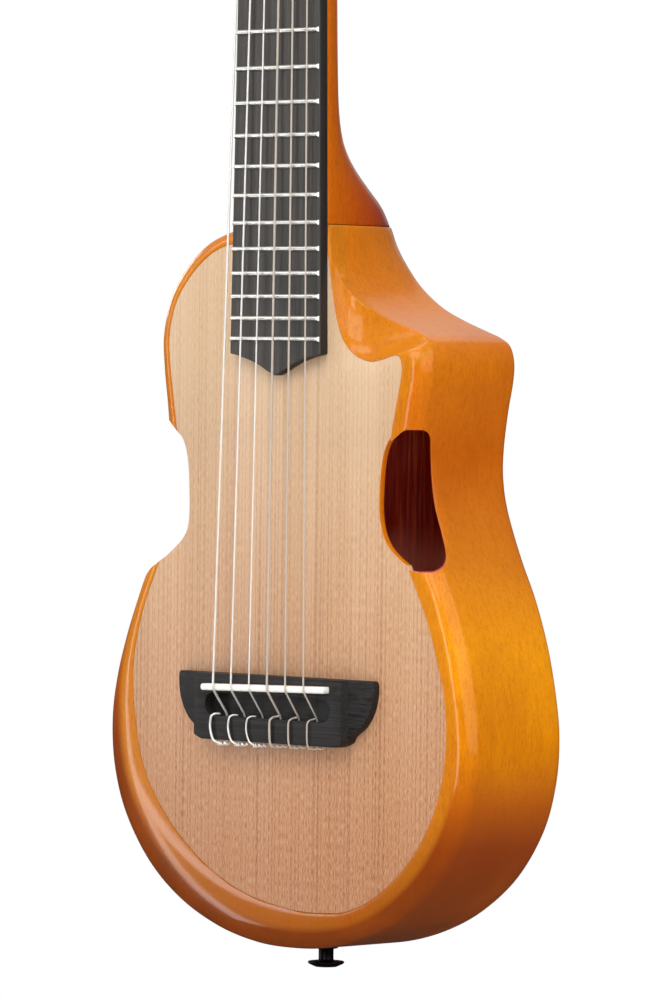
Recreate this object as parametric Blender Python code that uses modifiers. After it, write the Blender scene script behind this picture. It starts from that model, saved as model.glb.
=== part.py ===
"""A six-string guitalele with a scooped cutaway, two side ports and a slotted headstock.

Frame: X towards the treble side, Y towards the back, Z up along the neck.
Y = 0 is the plane of the soundboard's face and of the neck's glue face.
Z = 0 is the front of the nut, on the centre line, where a hanger's fork holds the instrument.
"""
import math

import bmesh
import bpy
from mathutils import Matrix, Vector

mm = 0.001

# Driving dimensions
SCALE_LENGTH = 433 * mm
STRETCH = SCALE_LENGTH / (433 * mm)   # of the outlines below, which were drawn for this scale
FRET_COUNT = 18
NUT_WIDTH = 47.2 * mm
LAST_FRET_WIDTH = 56.4 * mm
GLUE_GAP = 0.3 * mm           # between any two glued or seated pieces
RUNNING_GAP = 0.35 * mm       # round any piece that turns

# Fretboard and frets
BOARD_THICKNESS = 5.2 * mm    # from the glue plane to the playing face
BOARD_OVERRUN = 6.5 * mm      # past the last fret
BOARD_POINT = 9.6 * mm        # length of the pointed end
FRET_WIDTH = 2.2 * mm
FRET_HEIGHT = 1.1 * mm
FRET_TANG = 0.6 * mm
FRET_TANG_DEPTH = 1.7 * mm
FRET_INSET = 0.3 * mm         # from the board's side to the fret's end

# Strings, from the sixth (bass) to the first (treble)
STRING_DIAMETERS = [1.10 * mm, 0.92 * mm, 0.76 * mm, 1.02 * mm, 0.84 * mm, 0.72 * mm]
NUT_SPREAD = 39.4 * mm
SADDLE_SPREAD = 57.2 * mm
NUT_STRING_HEIGHT = 2.5 * mm       # string's centre above the playing face
SADDLE_STRING_HEIGHT = 13.3 * mm   # string's centre above the soundboard
SADDLE_SETBACK = 1.2 * mm          # added to the scale length
SADDLE_SLANT = math.radians(1.2)

# Body
BODY_DEPTH = 62 * mm
JOINT_Z = -229.5 * mm * STRETCH   # the neck's heel meets the body just past the thirteenth fret
BACK_RADIUS = 4 * mm
BACK_THICKNESS = 3.5 * mm
LEDGE_WIDTH = 6.5 * mm        # glue ledge under the soundboard's rim
LIP_WIDTH = 0.8 * mm
NECK_BLOCK_LENGTH = 33 * mm
SOUNDBOARD_THICKNESS = 3.0 * mm

# Each section of the rim: outer X and Z, soundboard edge X and Z, depth of the edge's shaping,
# its bulge (1 a quarter round, below 0 a hollow scoop) and how far its back leans in, all in mm.
# From the bass corner of the neck, down the bass side, round the tail and up the treble side.
RIM_SECTIONS = [
    (-27.4, -229.5, -26.8, -236.0, 0.4, 1.0, 0),
    (-29.6, -230.4, -29.8, -236.4, 6.5, 1.0, 0),
    (-40.6, -232.2, -40.5, -238.6, 9.0, 1.0, 0),
    (-53.6, -236.8, -50.5, -243.4, 10.0, 1.0, 0),
    (-67.0, -247.0, -60.8, -251.8, 10.0, 1.0, 0),
    (-77.4, -261.8, -69.6, -263.2, 10.0, 1.0, 0),
    (-82.0, -278.2, -74.0, -277.6, 10.0, 1.0, 0),
    (-81.3, -294.0, -73.4, -291.5, 10.0, 1.0, 0),
    (-79.0, -311.0, -70.6, -309.0, 10.0, 1.0, 0),
    (-77.7, -328.0, -67.8, -327.5, 10.0, 1.0, 0),
    (-77.8, -342.0, -67.6, -343.5, 10.0, 1.0, 0),
    (-80.2, -355.4, -71.0, -360.0, 10.0, 1.0, 0),
    (-87.6, -375.2, -79.6, -380.9, 10.0, 1.0, 0),
    (-96.4, -394.2, -87.6, -397.4, 9.5, 1.0, 0),
    (-105.2, -414.2, -93.4, -414.8, 9.0, 1.0, 0),
    (-112.4, -434.8, -95.7, -431.5, 9.0, 1.0, 0),
    (-115.8, -453.6, -94.0, -451.8, 9.0, 1.0, 0),
    (-114.2, -475.2, -88.6, -472.6, 9.0, 1.0, 0),
    (-106.6, -496.2, -78.0, -489.4, 9.0, 1.0, 0),
    (-90.9, -517.2, -61.6, -505.6, 9.0, 1.0, 0),
    (-70.2, -532.8, -41.5, -518.9, 9.0, 1.0, 0),
    (-45.5, -543.5, -20.5, -527.4, 9.0, 1.0, 0),
    (-21.7, -548.9, -1.0, -531.5, 9.5, 1.0, 0),
    (0.0, -550.1, 13.0, -533.1, 10.0, 1.0, 0),
    (21.7, -548.6, 27.5, -533.2, 10.0, 1.0, 0),
    (45.3, -542.8, 44.0, -531.4, 10.0, 1.0, 0),
    (68.5, -532.4, 62.4, -523.3, 10.0, 1.0, 0),
    (89.8, -516.4, 81.0, -508.2, 10.0, 1.0, 0),
    (105.4, -495.1, 94.2, -490.0, 10.0, 1.0, 0),
    (112.7, -473.7, 101.6, -470.5, 10.0, 1.0, 0),
    (114.4, -453.3, 103.8, -451.0, 10.0, 1.0, 0),
    (112.0, -434.5, 102.2, -433.0, 10.0, 1.0, 0),
    (106.9, -413.5, 97.0, -415.4, 10.0, 1.0, 0),
    (99.2, -393.0, 89.6, -397.2, 10.0, 1.0, 0),
    (90.0, -374.6, 80.9, -380.9, 10.0, 1.0, 0),
    (81.8, -354.8, 71.8, -360.0, 10.0, 1.0, 0),
    (78.8, -341.0, 67.8, -343.5, 10.0, 1.0, 0),
    (78.8, -328.0, 67.8, -327.5, 10.0, 1.0, 0),
    (81.2, -311.5, 71.0, -310.5, 10.0, 1.0, 0),
    (84.1, -298.0, 74.2, -297.0, 10.0, 1.0, 0),
    (84.6, -289.0, 74.6, -290.4, 10.0, 1.0, 0),
    (82.0, -281.8, 72.4, -286.6, 10.5, 0.7, 0),
    (76.6, -278.3, 68.6, -286.4, 11.2, 0.0, 0),
    (68.7, -275.6, 63.6, -287.4, 11.8, -0.5, 0),
    (55.0, -271.0, 54.5, -288.6, 11.0, -0.6, 0),
    (44.0, -266.1, 45.6, -286.2, 9.6, -0.6, 1.5),
    (36.2, -260.6, 38.4, -280.4, 7.4, -0.6, 3.7),
    (31.6, -254.6, 33.9, -271.6, 5.2, -0.5, 8),
    (29.2, -247.5, 30.8, -259.5, 3.6, -0.2, 14),
    (28.1, -238.5, 28.2, -245.0, 2.0, 0.4, 22.4),
    (27.9, -231.4, 27.0, -237.4, 0.8, 1.0, 27.6),
    (27.4, -229.5, 26.4, -236.0, 0.4, 1.0, 28.6),
]
JOINT_FACE_X = [16 * mm, 5 * mm, -6 * mm, -17 * mm]
JOINT_FACE_LEAN = [20 * mm, 12.5 * mm, 7.5 * mm, 4 * mm]
JOINT_FACE_EDGE = -236 * mm * STRETCH

# Side ports, in mm: the notches in the soundboard's edges, and at each height the sums of X and
# depth between which the window through the rim opens, its back face slanted
PORT_NOTCH = [(74, -318.4), (69.6, -320.6), (64.6, -326.6), (62.2, -335), (61.2, -346), (61.3, -356),
              (63.2, -364), (67.6, -370.6), (75, -376), (82, -379.4)]
BASS_NOTCH = [(78.9, -311.3), (72.5, -317.1), (68.5, -320.8), (64.1, -324.5), (61.4, -330.0),
              (59.9, -337.5), (59.2, -347.4), (59.0, -357.4), (59.8, -363.8), (61.9, -368.2),
              (66.3, -372.5), (73.5, -377.8), (80.0, -381.5), (84.6, -384.3), (88.0, -388.2)]
PORT_WINDOW = [(-319.0, 77, 87.5), (-320.2, 74, 90.5), (-322.5, 70.5, 92), (-325, 66, 92.2),
               (-331, 54.2, 92.5), (-342, 54.2, 93.4), (-353, 54.2, 95.6), (-364, 54.2, 99.7),
               (-373, 62, 102.5), (-377.5, 71, 101.5), (-379.6, 79, 98.5), (-380.8, 86, 94.5)]
PORT_INNER_X = 57 * mm
SWEEP_DEPTH = 36 * mm         # where the bass port's notch has run out of the side

# Neck: Z, depth behind the glue plane and squareness of the D section
NECK_SECTIONS = [(5.0, 15.4, 2.3), (-8.0, 15.5, 2.3), (-60.0, 15.9, 2.3), (-127.0, 16.4, 2.3),
                 (-160.0, 17.0, 2.3), (-178.0, 18.4, 2.25), (-190.5, 22.8, 2.1), (-198.8, 29.2, 2.0),
                 (-206.3, 37.0, 2.0), (-213.7, 46.2, 2.0), (-221.0, 54.8, 2.0), (-229.2, 60.4, 2.0)]
TENON_WIDTH = 20 * mm
TENON_LENGTH = 16 * mm
TENON_TOP = 8 * mm
TENON_BOTTOM = 40 * mm

# Headstock, in its own plane: X and height above the nut
NUT_THICKNESS = 5 * mm
HEAD_ANGLE = math.radians(13)
HEAD_THICKNESS = 17 * mm
HEAD_HALF_WIDTH = 31 * mm
HEAD_OUTLINE = [(23.9, 0.0), (24.3, 3.5), (26.8, 8.0), (30.0, 12.0), (31.0, 17.0), (31.0, 70.0),
                (31.0, 126.0), (29.6, 131.5), (24.0, 135.4), (12.0, 138.2), (0.0, 139.2)]
SLOT_INNER = 8.5 * mm
SLOT_OUTER = 23.5 * mm
SLOT_BOTTOM = 14 * mm
SLOT_TOP = 122 * mm

# Tuning machines
ROLLER_HEIGHTS = [32 * mm, 67 * mm, 102 * mm]
ROLLER_DEPTH = 8.5 * mm
ROLLER_RADIUS = 3.5 * mm
JOURNAL_RADIUS = 2.4 * mm
JOURNAL_LENGTH = 4.0 * mm
PLATE_THICKNESS = 1.2 * mm
PLATE_WIDTH = 15 * mm
PLATE_MARGIN = 7 * mm
WHEEL_TEETH = 14
WHEEL_MODULE = 0.8 * mm
WHEEL_WIDTH = 3.0 * mm
WHEEL_TOOTH = 0.8 * mm
TOOTH_HEIGHT = 0.55 * mm      # above the pitch circle; a running gap deeper below it
WHEEL_TOOTH_TIP = 0.7         # share of the tooth's thickness left at its tip
WHEEL_TOOTH_FOOT = 1.45       # and reached at its foot
WORM_PITCH_RADIUS = 2.7 * mm
WORM_THREAD = 0.8 * mm
WORM_TURNS = 2.5
WORM_STEPS = 10               # faces in each turn of the thread
ROLLER_SIDES = 14
WORM_SHAFT_RADIUS = 1.5 * mm
LUG_THICKNESS = 2.0 * mm
LUG_WIDTH = 6.4 * mm
KNOB_LENGTH = 17 * mm
KNOB_WIDTH = 13.5 * mm
KNOB_THICKNESS = 6.6 * mm
KNOB_SOCKET = 7 * mm
KNOB_CLEARANCE = 2.6 * mm     # behind the headstock

# Bridge and saddle
BRIDGE_TOP_OFFSET = 5.4 * mm      # from the saddle's middle up to the bridge's upper edge
BRIDGE_SHIFT = 0.9 * mm           # towards the treble side, under centred strings
BRIDGE_LENGTH = 122.4 * mm
BRIDGE_HEIGHT = 8.6 * mm
BRIDGE_BODY_LENGTH = 94 * mm
WING_END_HEIGHT = 3.0 * mm
WING_ROOT_HEIGHT = 5.2 * mm
BRIDGE_OUTLINE = [(60.4, 0.0), (61.4, -1.6), (61.3, -7.0), (59.2, -14.0), (54.6, -20.4), (49.2, -24.2),
                  (44.6, -27.6), (40.0, -29.6)]
TIE_BLOCK_WIDTH = 10.6 * mm
TROUGH_FLOOR = 2.6 * mm
TROUGH_HALF_LENGTH = 39.6 * mm
SADDLE_THICKNESS = 3.0 * mm
SADDLE_LENGTH = 77.8 * mm
SADDLE_SLOT_FLOOR = 3.2 * mm
STRING_HOLE_RADIUS = 1.0 * mm
STRING_HOLE_HEIGHT = 4.3 * mm

# Inside the body
BRACE_WIDTH = 6 * mm
BRACE_HEIGHT = 8 * mm
BRIDGE_PLATE_SIZE = (108 * mm, 30 * mm)
BRIDGE_PLATE_THICKNESS = 2.2 * mm
UPPER_BRACE_Z = -306 * mm * STRETCH
UPPER_BRACE_LENGTH = 112 * mm
LOWER_BRACE_Z = -398 * mm * STRETCH
LOWER_BRACE_LENGTH = 146 * mm
FAN_LENGTH = 42 * mm * STRETCH
FAN_SPLAY = math.radians(14)
FAN_SPACING = 34 * mm

# Strap button: radius and distance below the tail
BUTTON_PROFILE = [(5.3, 0.0), (5.3, 1.1), (3.7, 1.3), (3.35, 2.0), (3.35, 6.1), (3.9, 6.7), (8.0, 7.0),
                  (8.2, 7.5), (7.7, 8.1), (4.9, 9.4)]
BUTTON_BORE = 2.0 * mm
SCREW_RADIUS = 1.6 * mm
SCREW_LENGTH = 17 * mm
SCREW_HEAD_RADIUS = 3.2 * mm
SCREW_HEAD_HEIGHT = 2.0 * mm

# Finish: colour, roughness and metallic value
FINISHES = {
    "stained_mahogany": ((0.60, 0.19, 0.018), 0.18, 0.0),
    "cedar_top": ((0.66, 0.42, 0.22), 0.38, 0.0),
    "ebony": ((0.035, 0.034, 0.036), 0.45, 0.0),
    "fretboard_black": ((0.075, 0.075, 0.08), 0.55, 0.0),
    "bone": ((0.86, 0.84, 0.79), 0.35, 0.0),
    "fret_wire": ((0.80, 0.80, 0.80), 0.22, 1.0),
    "silvered_wire": ((0.82, 0.82, 0.80), 0.30, 1.0),
    "clear_nylon": ((0.74, 0.70, 0.64), 0.15, 0.0),
    "nickel": ((0.68, 0.66, 0.62), 0.25, 1.0),
    "black_plastic": ((0.015, 0.015, 0.016), 0.30, 0.0),
    "brace_spruce": ((0.70, 0.55, 0.36), 0.6, 0.0),
}


def fret_z(number):
    """Height of a fret below the nut, by equal temperament."""
    return -SCALE_LENGTH * (1 - 2 ** (-number / 12))


def board_half_width(z):
    slope = (LAST_FRET_WIDTH - NUT_WIDTH) / fret_z(FRET_COUNT)
    return (NUT_WIDTH + slope * min(z, 0)) / 2


def string_x(index, spread):
    """Side position of string 0 (sixth, bass) to 5 (first, treble)."""
    return spread * (index / 5 - 0.5)


SADDLE_Z = -(SCALE_LENGTH + SADDLE_SETBACK)
BRIDGE_TOP_Z = SADDLE_Z + BRIDGE_TOP_OFFSET
BRIDGE_BOTTOM_Z = BRIDGE_TOP_Z + BRIDGE_OUTLINE[-1][1] * mm
TIE_BLOCK_TOP_Z = BRIDGE_BOTTOM_Z + TIE_BLOCK_WIDTH
WHEEL_RADIUS = WHEEL_TEETH * WHEEL_MODULE / 2
WORM_PITCH = math.pi * WHEEL_MODULE
WORM_OFFSET = WHEEL_RADIUS + WORM_PITCH_RADIUS
WORM_OUTER_RADIUS = WORM_PITCH_RADIUS + TOOTH_HEIGHT
PLATE_OUTER_X = HEAD_HALF_WIDTH + GLUE_GAP + PLATE_THICKNESS
WHEEL_X = PLATE_OUTER_X + WORM_OUTER_RADIUS + RUNNING_GAP
TAIL_Z = min(row[1] for row in RIM_SECTIONS) * mm * STRETCH


# Shared tools

def clear_scene():
    for obj in list(bpy.data.objects):
        bpy.data.objects.remove(obj)


def collection(name):
    group = bpy.data.collections.get(name) or bpy.data.collections.new(name)
    if group.name not in bpy.context.scene.collection.children:
        bpy.context.scene.collection.children.link(group)
    return group


def finish(name):
    """One Principled material for each finish of the instrument."""
    known = bpy.data.materials.get(name)
    if known:
        return known
    colour, roughness, metallic = FINISHES[name]
    material = bpy.data.materials.new(name)
    material.use_nodes = True
    shader = material.node_tree.nodes["Principled BSDF"]
    shader.inputs["Base Color"].default_value = (*colour, 1)
    shader.inputs["Roughness"].default_value = roughness
    shader.inputs["Metallic"].default_value = metallic
    return material


def add_object(name, data, finish_name=None, parent=None):
    """Link an object: a part with a finish, or a hidden cutter without one."""
    obj = bpy.data.objects.new(name, data)
    obj.parent = parent
    if finish_name:
        data.materials.append(finish(finish_name))
        collection("guitalele").objects.link(obj)
    else:
        obj.hide_render = True
        obj.display_type = "WIRE"
        collection("cutters").objects.link(obj)
    return obj


def mesh_object(name, bm, finish_name=None, parent=None):
    mesh = bpy.data.meshes.new(name)
    bmesh.ops.recalc_face_normals(bm, faces=bm.faces)
    bm.to_mesh(mesh)
    bm.free()
    obj = add_object(name, mesh, finish_name, parent)
    if finish_name:
        mesh.shade_smooth()
        mesh.set_sharp_from_angle(angle=math.radians(35))
    return obj


def curve_to_mesh(obj, finish_name=None):
    """Replace a curve object by its welded mesh."""
    bpy.context.view_layer.update()
    mesh = bpy.data.meshes.new_from_object(obj.evaluated_get(bpy.context.evaluated_depsgraph_get()))
    bm = bmesh.new()
    bm.from_mesh(mesh)
    bmesh.ops.remove_doubles(bm, verts=bm.verts, dist=0.00001)
    bmesh.ops.recalc_face_normals(bm, faces=bm.faces)
    bm.to_mesh(mesh)
    bm.free()
    mesh.materials.clear()
    name, place, parent = obj.name, obj.matrix_world.copy(), obj.parent
    bpy.data.objects.remove(obj)
    solid = add_object(name, mesh, finish_name)
    solid.matrix_world = place
    if parent:
        solid.parent = parent
        solid.matrix_parent_inverse = parent.matrix_world.inverted()
    if finish_name:
        mesh.shade_smooth()
        mesh.set_sharp_from_angle(angle=math.radians(35))
    return solid


def flat_plate(name, outline, near, far, finish_name=None, parent=None):
    """Extrude an outline of X, Z points from depth near to depth far."""
    curve = bpy.data.curves.new(name, "CURVE")
    curve.dimensions = "2D"
    curve.fill_mode = "BOTH"
    curve.extrude = (far - near) / 2
    spline = curve.splines.new("POLY")
    spline.points.add(len(outline) - 1)
    for point, (x, z) in zip(spline.points, outline):
        point.co = (x, z, 0, 1)
    spline.use_cyclic_u = True
    obj = add_object(name, curve, None, parent)
    obj.matrix_local = (Matrix.Translation((0, (near + far) / 2, 0))
                        @ Matrix.Rotation(math.radians(90), 4, "X"))
    return curve_to_mesh(obj, finish_name)


def box(name, low, high, finish_name=None, parent=None):
    bm = bmesh.new()
    bmesh.ops.create_cube(bm, size=1)
    size = [b - a for a, b in zip(low, high)]
    middle = [(a + b) / 2 for a, b in zip(low, high)]
    bmesh.ops.scale(bm, vec=size, verts=bm.verts)
    bmesh.ops.translate(bm, vec=middle, verts=bm.verts)
    return mesh_object(name, bm, finish_name, parent)


def rods(name, spans, radius, sides=12, finish_name=None, parent=None):
    """Round bars, each from one point to another, in one object."""
    bm = bmesh.new()
    for start, end in spans:
        start, end = Vector(start), Vector(end)
        turn = (end - start).to_track_quat("Z", "Y").to_matrix().to_4x4()
        place = Matrix.Translation((start + end) / 2) @ turn
        bmesh.ops.create_cone(bm, cap_ends=True, segments=sides, radius1=radius, radius2=radius,
                              depth=(end - start).length, matrix=place)
    return mesh_object(name, bm, finish_name, parent)


def boolean(target, cutter, operation="DIFFERENCE"):
    modifier = target.modifiers.new(operation.lower(), "BOOLEAN")
    modifier.operation = operation
    modifier.solver = "EXACT"
    modifier.object = cutter
    return modifier


def soften(obj, width, segments=2):
    """Round every edge of a piece."""
    modifier = obj.modifiers.new("rounding", "BEVEL")
    modifier.width = width
    modifier.segments = segments
    modifier.limit_method = "ANGLE"
    return modifier


def loft(name, rings, finish_name=None, parent=None):
    """A skin through closed rings of equally many points, capped at both ends."""
    bm = bmesh.new()
    loops = [[bm.verts.new(point) for point in ring] for ring in rings]
    count = len(rings[0])
    for ring, following in zip(loops, loops[1:]):
        for i in range(count):
            j = (i + 1) % count
            bm.faces.new((ring[i], ring[j], following[j], following[i]))
    bm.faces.new(loops[0])
    bm.faces.new(loops[-1])
    return mesh_object(name, bm, finish_name, parent)


def turned(name, profile, sides, finish_name=None, closed=False):
    """Revolve a profile of radius and height, listed from the top down, round Z."""
    mesh = bpy.data.meshes.new(name)
    points = [(radius, 0, height) for radius, height in profile]
    edges = [(i, i + 1) for i in range(len(points) - 1)]
    if closed:
        edges.append((len(points) - 1, 0))
    mesh.from_pydata(points, edges, [])
    obj = add_object(name, mesh, finish_name)
    screw = obj.modifiers.new("turning", "SCREW")
    screw.steps = screw.render_steps = sides
    screw.use_merge_vertices = True
    screw.merge_threshold = 0.00001
    return obj


def spline_through(rows, steps):
    """Catmull-Rom samples through rows of numbers; the ends are kept."""
    samples = []
    for i in range(len(rows) - 1):
        before = rows[max(i - 1, 0)]
        start, end = rows[i], rows[i + 1]
        after = rows[min(i + 2, len(rows) - 1)]
        for k in range(steps):
            t = k / steps
            samples.append(tuple(
                0.5 * (2 * b + (c - a) * t + (2 * a - 5 * b + 4 * c - d) * t * t
                       + (3 * b - a - 3 * c + d) * t ** 3)
                for a, b, c, d in zip(before, start, end, after)))
    samples.append(tuple(rows[-1]))
    return samples


# Body

def rim_samples():
    """Sections of the rim all round the body, in metres, closed by the neck's joint face."""
    high = mm * STRETCH
    samples = [(x * mm, z * high, sx * mm, sz * high, depth * mm, bulge, lean * mm)
               for x, z, sx, sz, depth, bulge, lean in spline_through(RIM_SECTIONS, 2)]
    edge_depth = RIM_SECTIONS[-1][4] * mm
    for x, lean in zip(JOINT_FACE_X, JOINT_FACE_LEAN):
        samples.append((x, JOINT_Z, x, JOINT_FACE_EDGE, edge_depth, 1.0, lean))
    return samples


def inward(sample):
    x, z, sx, sz = sample[:4]
    length = math.hypot(sx - x, sz - z)
    return (sx - x) / length, (sz - z) / length


def soundboard_edge(offset):
    """The soundboard's outline moved inwards by an offset."""
    points = []
    for sample in rim_samples():
        dx, dz = inward(sample)
        points.append((sample[2] + dx * offset, sample[3] + dz * offset))
    return points


def edge_point(sample, angle):
    """A point of the shaped front edge, from the soundboard (0) to the side (90 degrees)."""
    x, z, sx, sz, depth, bulge, _ = sample
    across = 1 - math.sin(angle)
    down = 1 - math.cos(angle)
    round_share = (1 + bulge) / 2
    across = round_share * across + (1 - round_share) * math.cos(angle)
    down = round_share * down + (1 - round_share) * math.sin(angle)
    return x + (sx - x) * across, depth * down, z + (sz - z) * across


def leaned(sample, y):
    """Outer X at a depth, where the cutaway's root curves in behind the neck."""
    share = min(y / BODY_DEPTH, 1)
    return sample[0] - sample[6] * (1 - math.sqrt(1 - share * share))


def body_outside():
    samples = rim_samples()
    rings = [[edge_point(s, math.radians(a)) for s in samples] for a in (0, 30, 60, 90)]
    rings.append([(leaned(s, 20 * mm), 20 * mm, s[1]) for s in samples])
    rings.append([(leaned(s, 40 * mm), 40 * mm, s[1]) for s in samples])
    for angle in (0, 45, 90):
        step_in = BACK_RADIUS * (1 - math.cos(math.radians(angle)))
        y = BODY_DEPTH - BACK_RADIUS * (1 - math.sin(math.radians(angle)))
        ring = []
        for sample in samples:
            dx, dz = inward(sample)
            ring.append((leaned(sample, y) + dx * step_in, y, sample[1] + dz * step_in))
        rings.append(ring)
    return loft("body", rings, "stained_mahogany")


def chamber_outline():
    """Inside of the ledge, stopped below by the neck block."""
    top = JOINT_Z - NECK_BLOCK_LENGTH
    points = []
    for x, z in soundboard_edge(LIP_WIDTH + LEDGE_WIDTH):
        point = (x, min(z, top))
        if not points or math.dist(point, points[-1]) > 1.5 * mm:
            points.append(point)
    return points


def port_window(side):
    """The opening through the rim: open to the front, with a slanted floor into the chamber."""
    front = -3 * mm
    rings = []
    for z, near, far in PORT_WINDOW:
        near, far, z = near * mm, far * mm, z * mm * STRETCH
        rings.append([(side * max(PORT_INNER_X, near - front), front, z),
                      (side * PORT_INNER_X, near - PORT_INNER_X, z),
                      (side * PORT_INNER_X, far - PORT_INNER_X, z),
                      (side * (far - front), front, z)])
    return loft("port_window_%s" % ("treble" if side > 0 else "bass"), rings)


def port_sweep():
    """The bass notch carried on through the side, slanting out towards the back."""
    front = -3 * mm
    far_x = -BODY_DEPTH * 2
    rings = []
    for x, z in spline_through(BASS_NOTCH, 2):
        x, z = -x * mm, z * mm * STRETCH
        rings.append([(x - front, front, z), (x - SWEEP_DEPTH, SWEEP_DEPTH, z),
                      (far_x, SWEEP_DEPTH, z), (far_x, front, z)])
    return loft("port_sweep", rings)


def port_notch(side):
    rows = PORT_NOTCH if side > 0 else BASS_NOTCH
    outline = [(side * x * mm, z * mm * STRETCH) for x, z in spline_through(rows, 3)]
    far_x = side * 100 * mm
    outline += [(far_x, outline[-1][1]), (far_x, outline[0][1])]
    name = "port_notch_%s" % ("treble" if side > 0 else "bass")
    return flat_plate(name, outline, -2 * mm, SOUNDBOARD_THICKNESS + 2 * mm)


def make_body():
    body = body_outside()
    recess = flat_plate("soundboard_recess", soundboard_edge(LIP_WIDTH), -2 * mm,
                        SOUNDBOARD_THICKNESS + GLUE_GAP)
    chamber = flat_plate("chamber", chamber_outline(), 1 * mm, BODY_DEPTH - BACK_THICKNESS)
    mortise = box("mortise",
                  (-TENON_WIDTH / 2 - GLUE_GAP, TENON_TOP - GLUE_GAP, JOINT_Z - TENON_LENGTH - GLUE_GAP),
                  (TENON_WIDTH / 2 + GLUE_GAP, TENON_BOTTOM + GLUE_GAP, JOINT_Z + 5 * mm))
    screw_hole = rods("strap_screw_hole", [((0, BODY_DEPTH / 2, TAIL_Z - 5 * mm),
                                            (0, BODY_DEPTH / 2, TAIL_Z + SCREW_LENGTH))],
                      SCREW_RADIUS + GLUE_GAP)
    for cutter in (recess, chamber, mortise, screw_hole, port_window(1), port_window(-1), port_sweep()):
        boolean(body, cutter)


def make_soundboard():
    top = flat_plate("soundboard", soundboard_edge(LIP_WIDTH + GLUE_GAP), 0, SOUNDBOARD_THICKNESS,
                     "cedar_top")
    for side in (1, -1):
        boolean(top, port_notch(side))


def brace(name, centre, length, angle=0.0):
    """A strut glued under the soundboard, tapered at its ends."""
    half = length / 2
    toe = 2 * mm
    outline = [(-half, 0), (-half, -toe), (-half + 2 * BRACE_HEIGHT, -BRACE_HEIGHT),
               (half - 2 * BRACE_HEIGHT, -BRACE_HEIGHT), (half, -toe), (half, 0)]
    strut = flat_plate(name, outline, -BRACE_WIDTH / 2, BRACE_WIDTH / 2, "brace_spruce")
    under = SOUNDBOARD_THICKNESS + GLUE_GAP
    strut.matrix_world = (Matrix.Translation((centre[0], under, centre[1]))
                          @ Matrix.Rotation(angle, 4, "Y") @ Matrix.Rotation(math.radians(90), 4, "X")
                          @ strut.matrix_world)
    return strut


def make_bracing():
    brace("upper_brace", (0, UPPER_BRACE_Z), UPPER_BRACE_LENGTH)
    brace("lower_brace", (0, LOWER_BRACE_Z), LOWER_BRACE_LENGTH)
    plate_top = BRIDGE_TOP_Z + 0.5 * mm
    width, height = BRIDGE_PLATE_SIZE
    under = SOUNDBOARD_THICKNESS + GLUE_GAP
    box("bridge_plate", (-width / 2, under, plate_top - height),
        (width / 2, under + BRIDGE_PLATE_THICKNESS, plate_top), "brace_spruce")
    fan_top = plate_top - height - 1.5 * mm
    for name, place in (("bass", -1), ("centre", 0), ("treble", 1)):
        splay = place * FAN_SPLAY
        reach = FAN_LENGTH / 2
        centre = (place * FAN_SPACING + reach * math.sin(splay) * 0.6,
                  fan_top - reach * math.cos(splay) - abs(math.sin(splay)) * BRACE_WIDTH)
        brace("fan_brace_%s" % name, centre, FAN_LENGTH, math.radians(90) - splay)


def make_strap_button():
    """Turned button held to the tail by a countersunk screw."""
    seat = TAIL_Z - GLUE_GAP
    bottom = BUTTON_PROFILE[-1][1] * mm
    middle = BODY_DEPTH / 2
    outside = [(radius * mm, -height * mm) for radius, height in BUTTON_PROFILE]
    bore = [(SCREW_HEAD_RADIUS + GLUE_GAP, -bottom),
            (SCREW_HEAD_RADIUS + GLUE_GAP, -bottom + 0.5 * mm),
            (BUTTON_BORE, -bottom + SCREW_HEAD_HEIGHT), (BUTTON_BORE, 0)]
    button = turned("strap_button", outside + bore, 24, "black_plastic", closed=True)
    button.location = (0, middle, seat)
    head_end = -bottom + 0.2 * mm
    screw = turned("strap_button_screw",
                   [(0, SCREW_LENGTH - 2 * mm), (SCREW_RADIUS, SCREW_LENGTH - 4 * mm),
                    (SCREW_RADIUS, head_end + SCREW_HEAD_HEIGHT),
                    (SCREW_HEAD_RADIUS, head_end + 0.4 * mm), (SCREW_HEAD_RADIUS, head_end),
                    (0, head_end)], 16, "nickel")
    screw.location = (0, middle, seat)


# Neck, headstock and fretboard

def neck_ring(z, depth, power, points=16):
    """A D section: flat face forward, superellipse behind."""
    half = board_half_width(z)
    ring = []
    for i in range(points + 1):
        angle = math.pi * i / points
        across = math.copysign(abs(math.cos(angle)) ** (2 / power), math.cos(angle))
        ring.append((-half * across, depth * math.sin(angle) ** (2 / power), z))
    return ring


def head_frame():
    """The headstock's own axes: its face tilts back from the nut's upper edge."""
    frame = bpy.data.objects.new("headstock_frame", None)
    collection("cutters").objects.link(frame)
    frame.location = (0, 0.15 * mm, NUT_THICKNESS - 0.4 * mm)
    frame.rotation_euler = (-HEAD_ANGLE, 0, 0)
    bpy.context.view_layer.update()
    return frame


def stadium(low, high, x_low, x_high, segments=8):
    """Outline of a slot with round ends."""
    radius = (x_high - x_low) / 2
    middle = (x_low + x_high) / 2
    points = []
    for centre, start in ((low + radius, math.pi), (high - radius, 0)):
        for i in range(segments + 1):
            angle = start + math.pi * i / segments
            points.append((middle + radius * math.cos(angle), centre + radius * math.sin(angle)))
    return points


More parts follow.
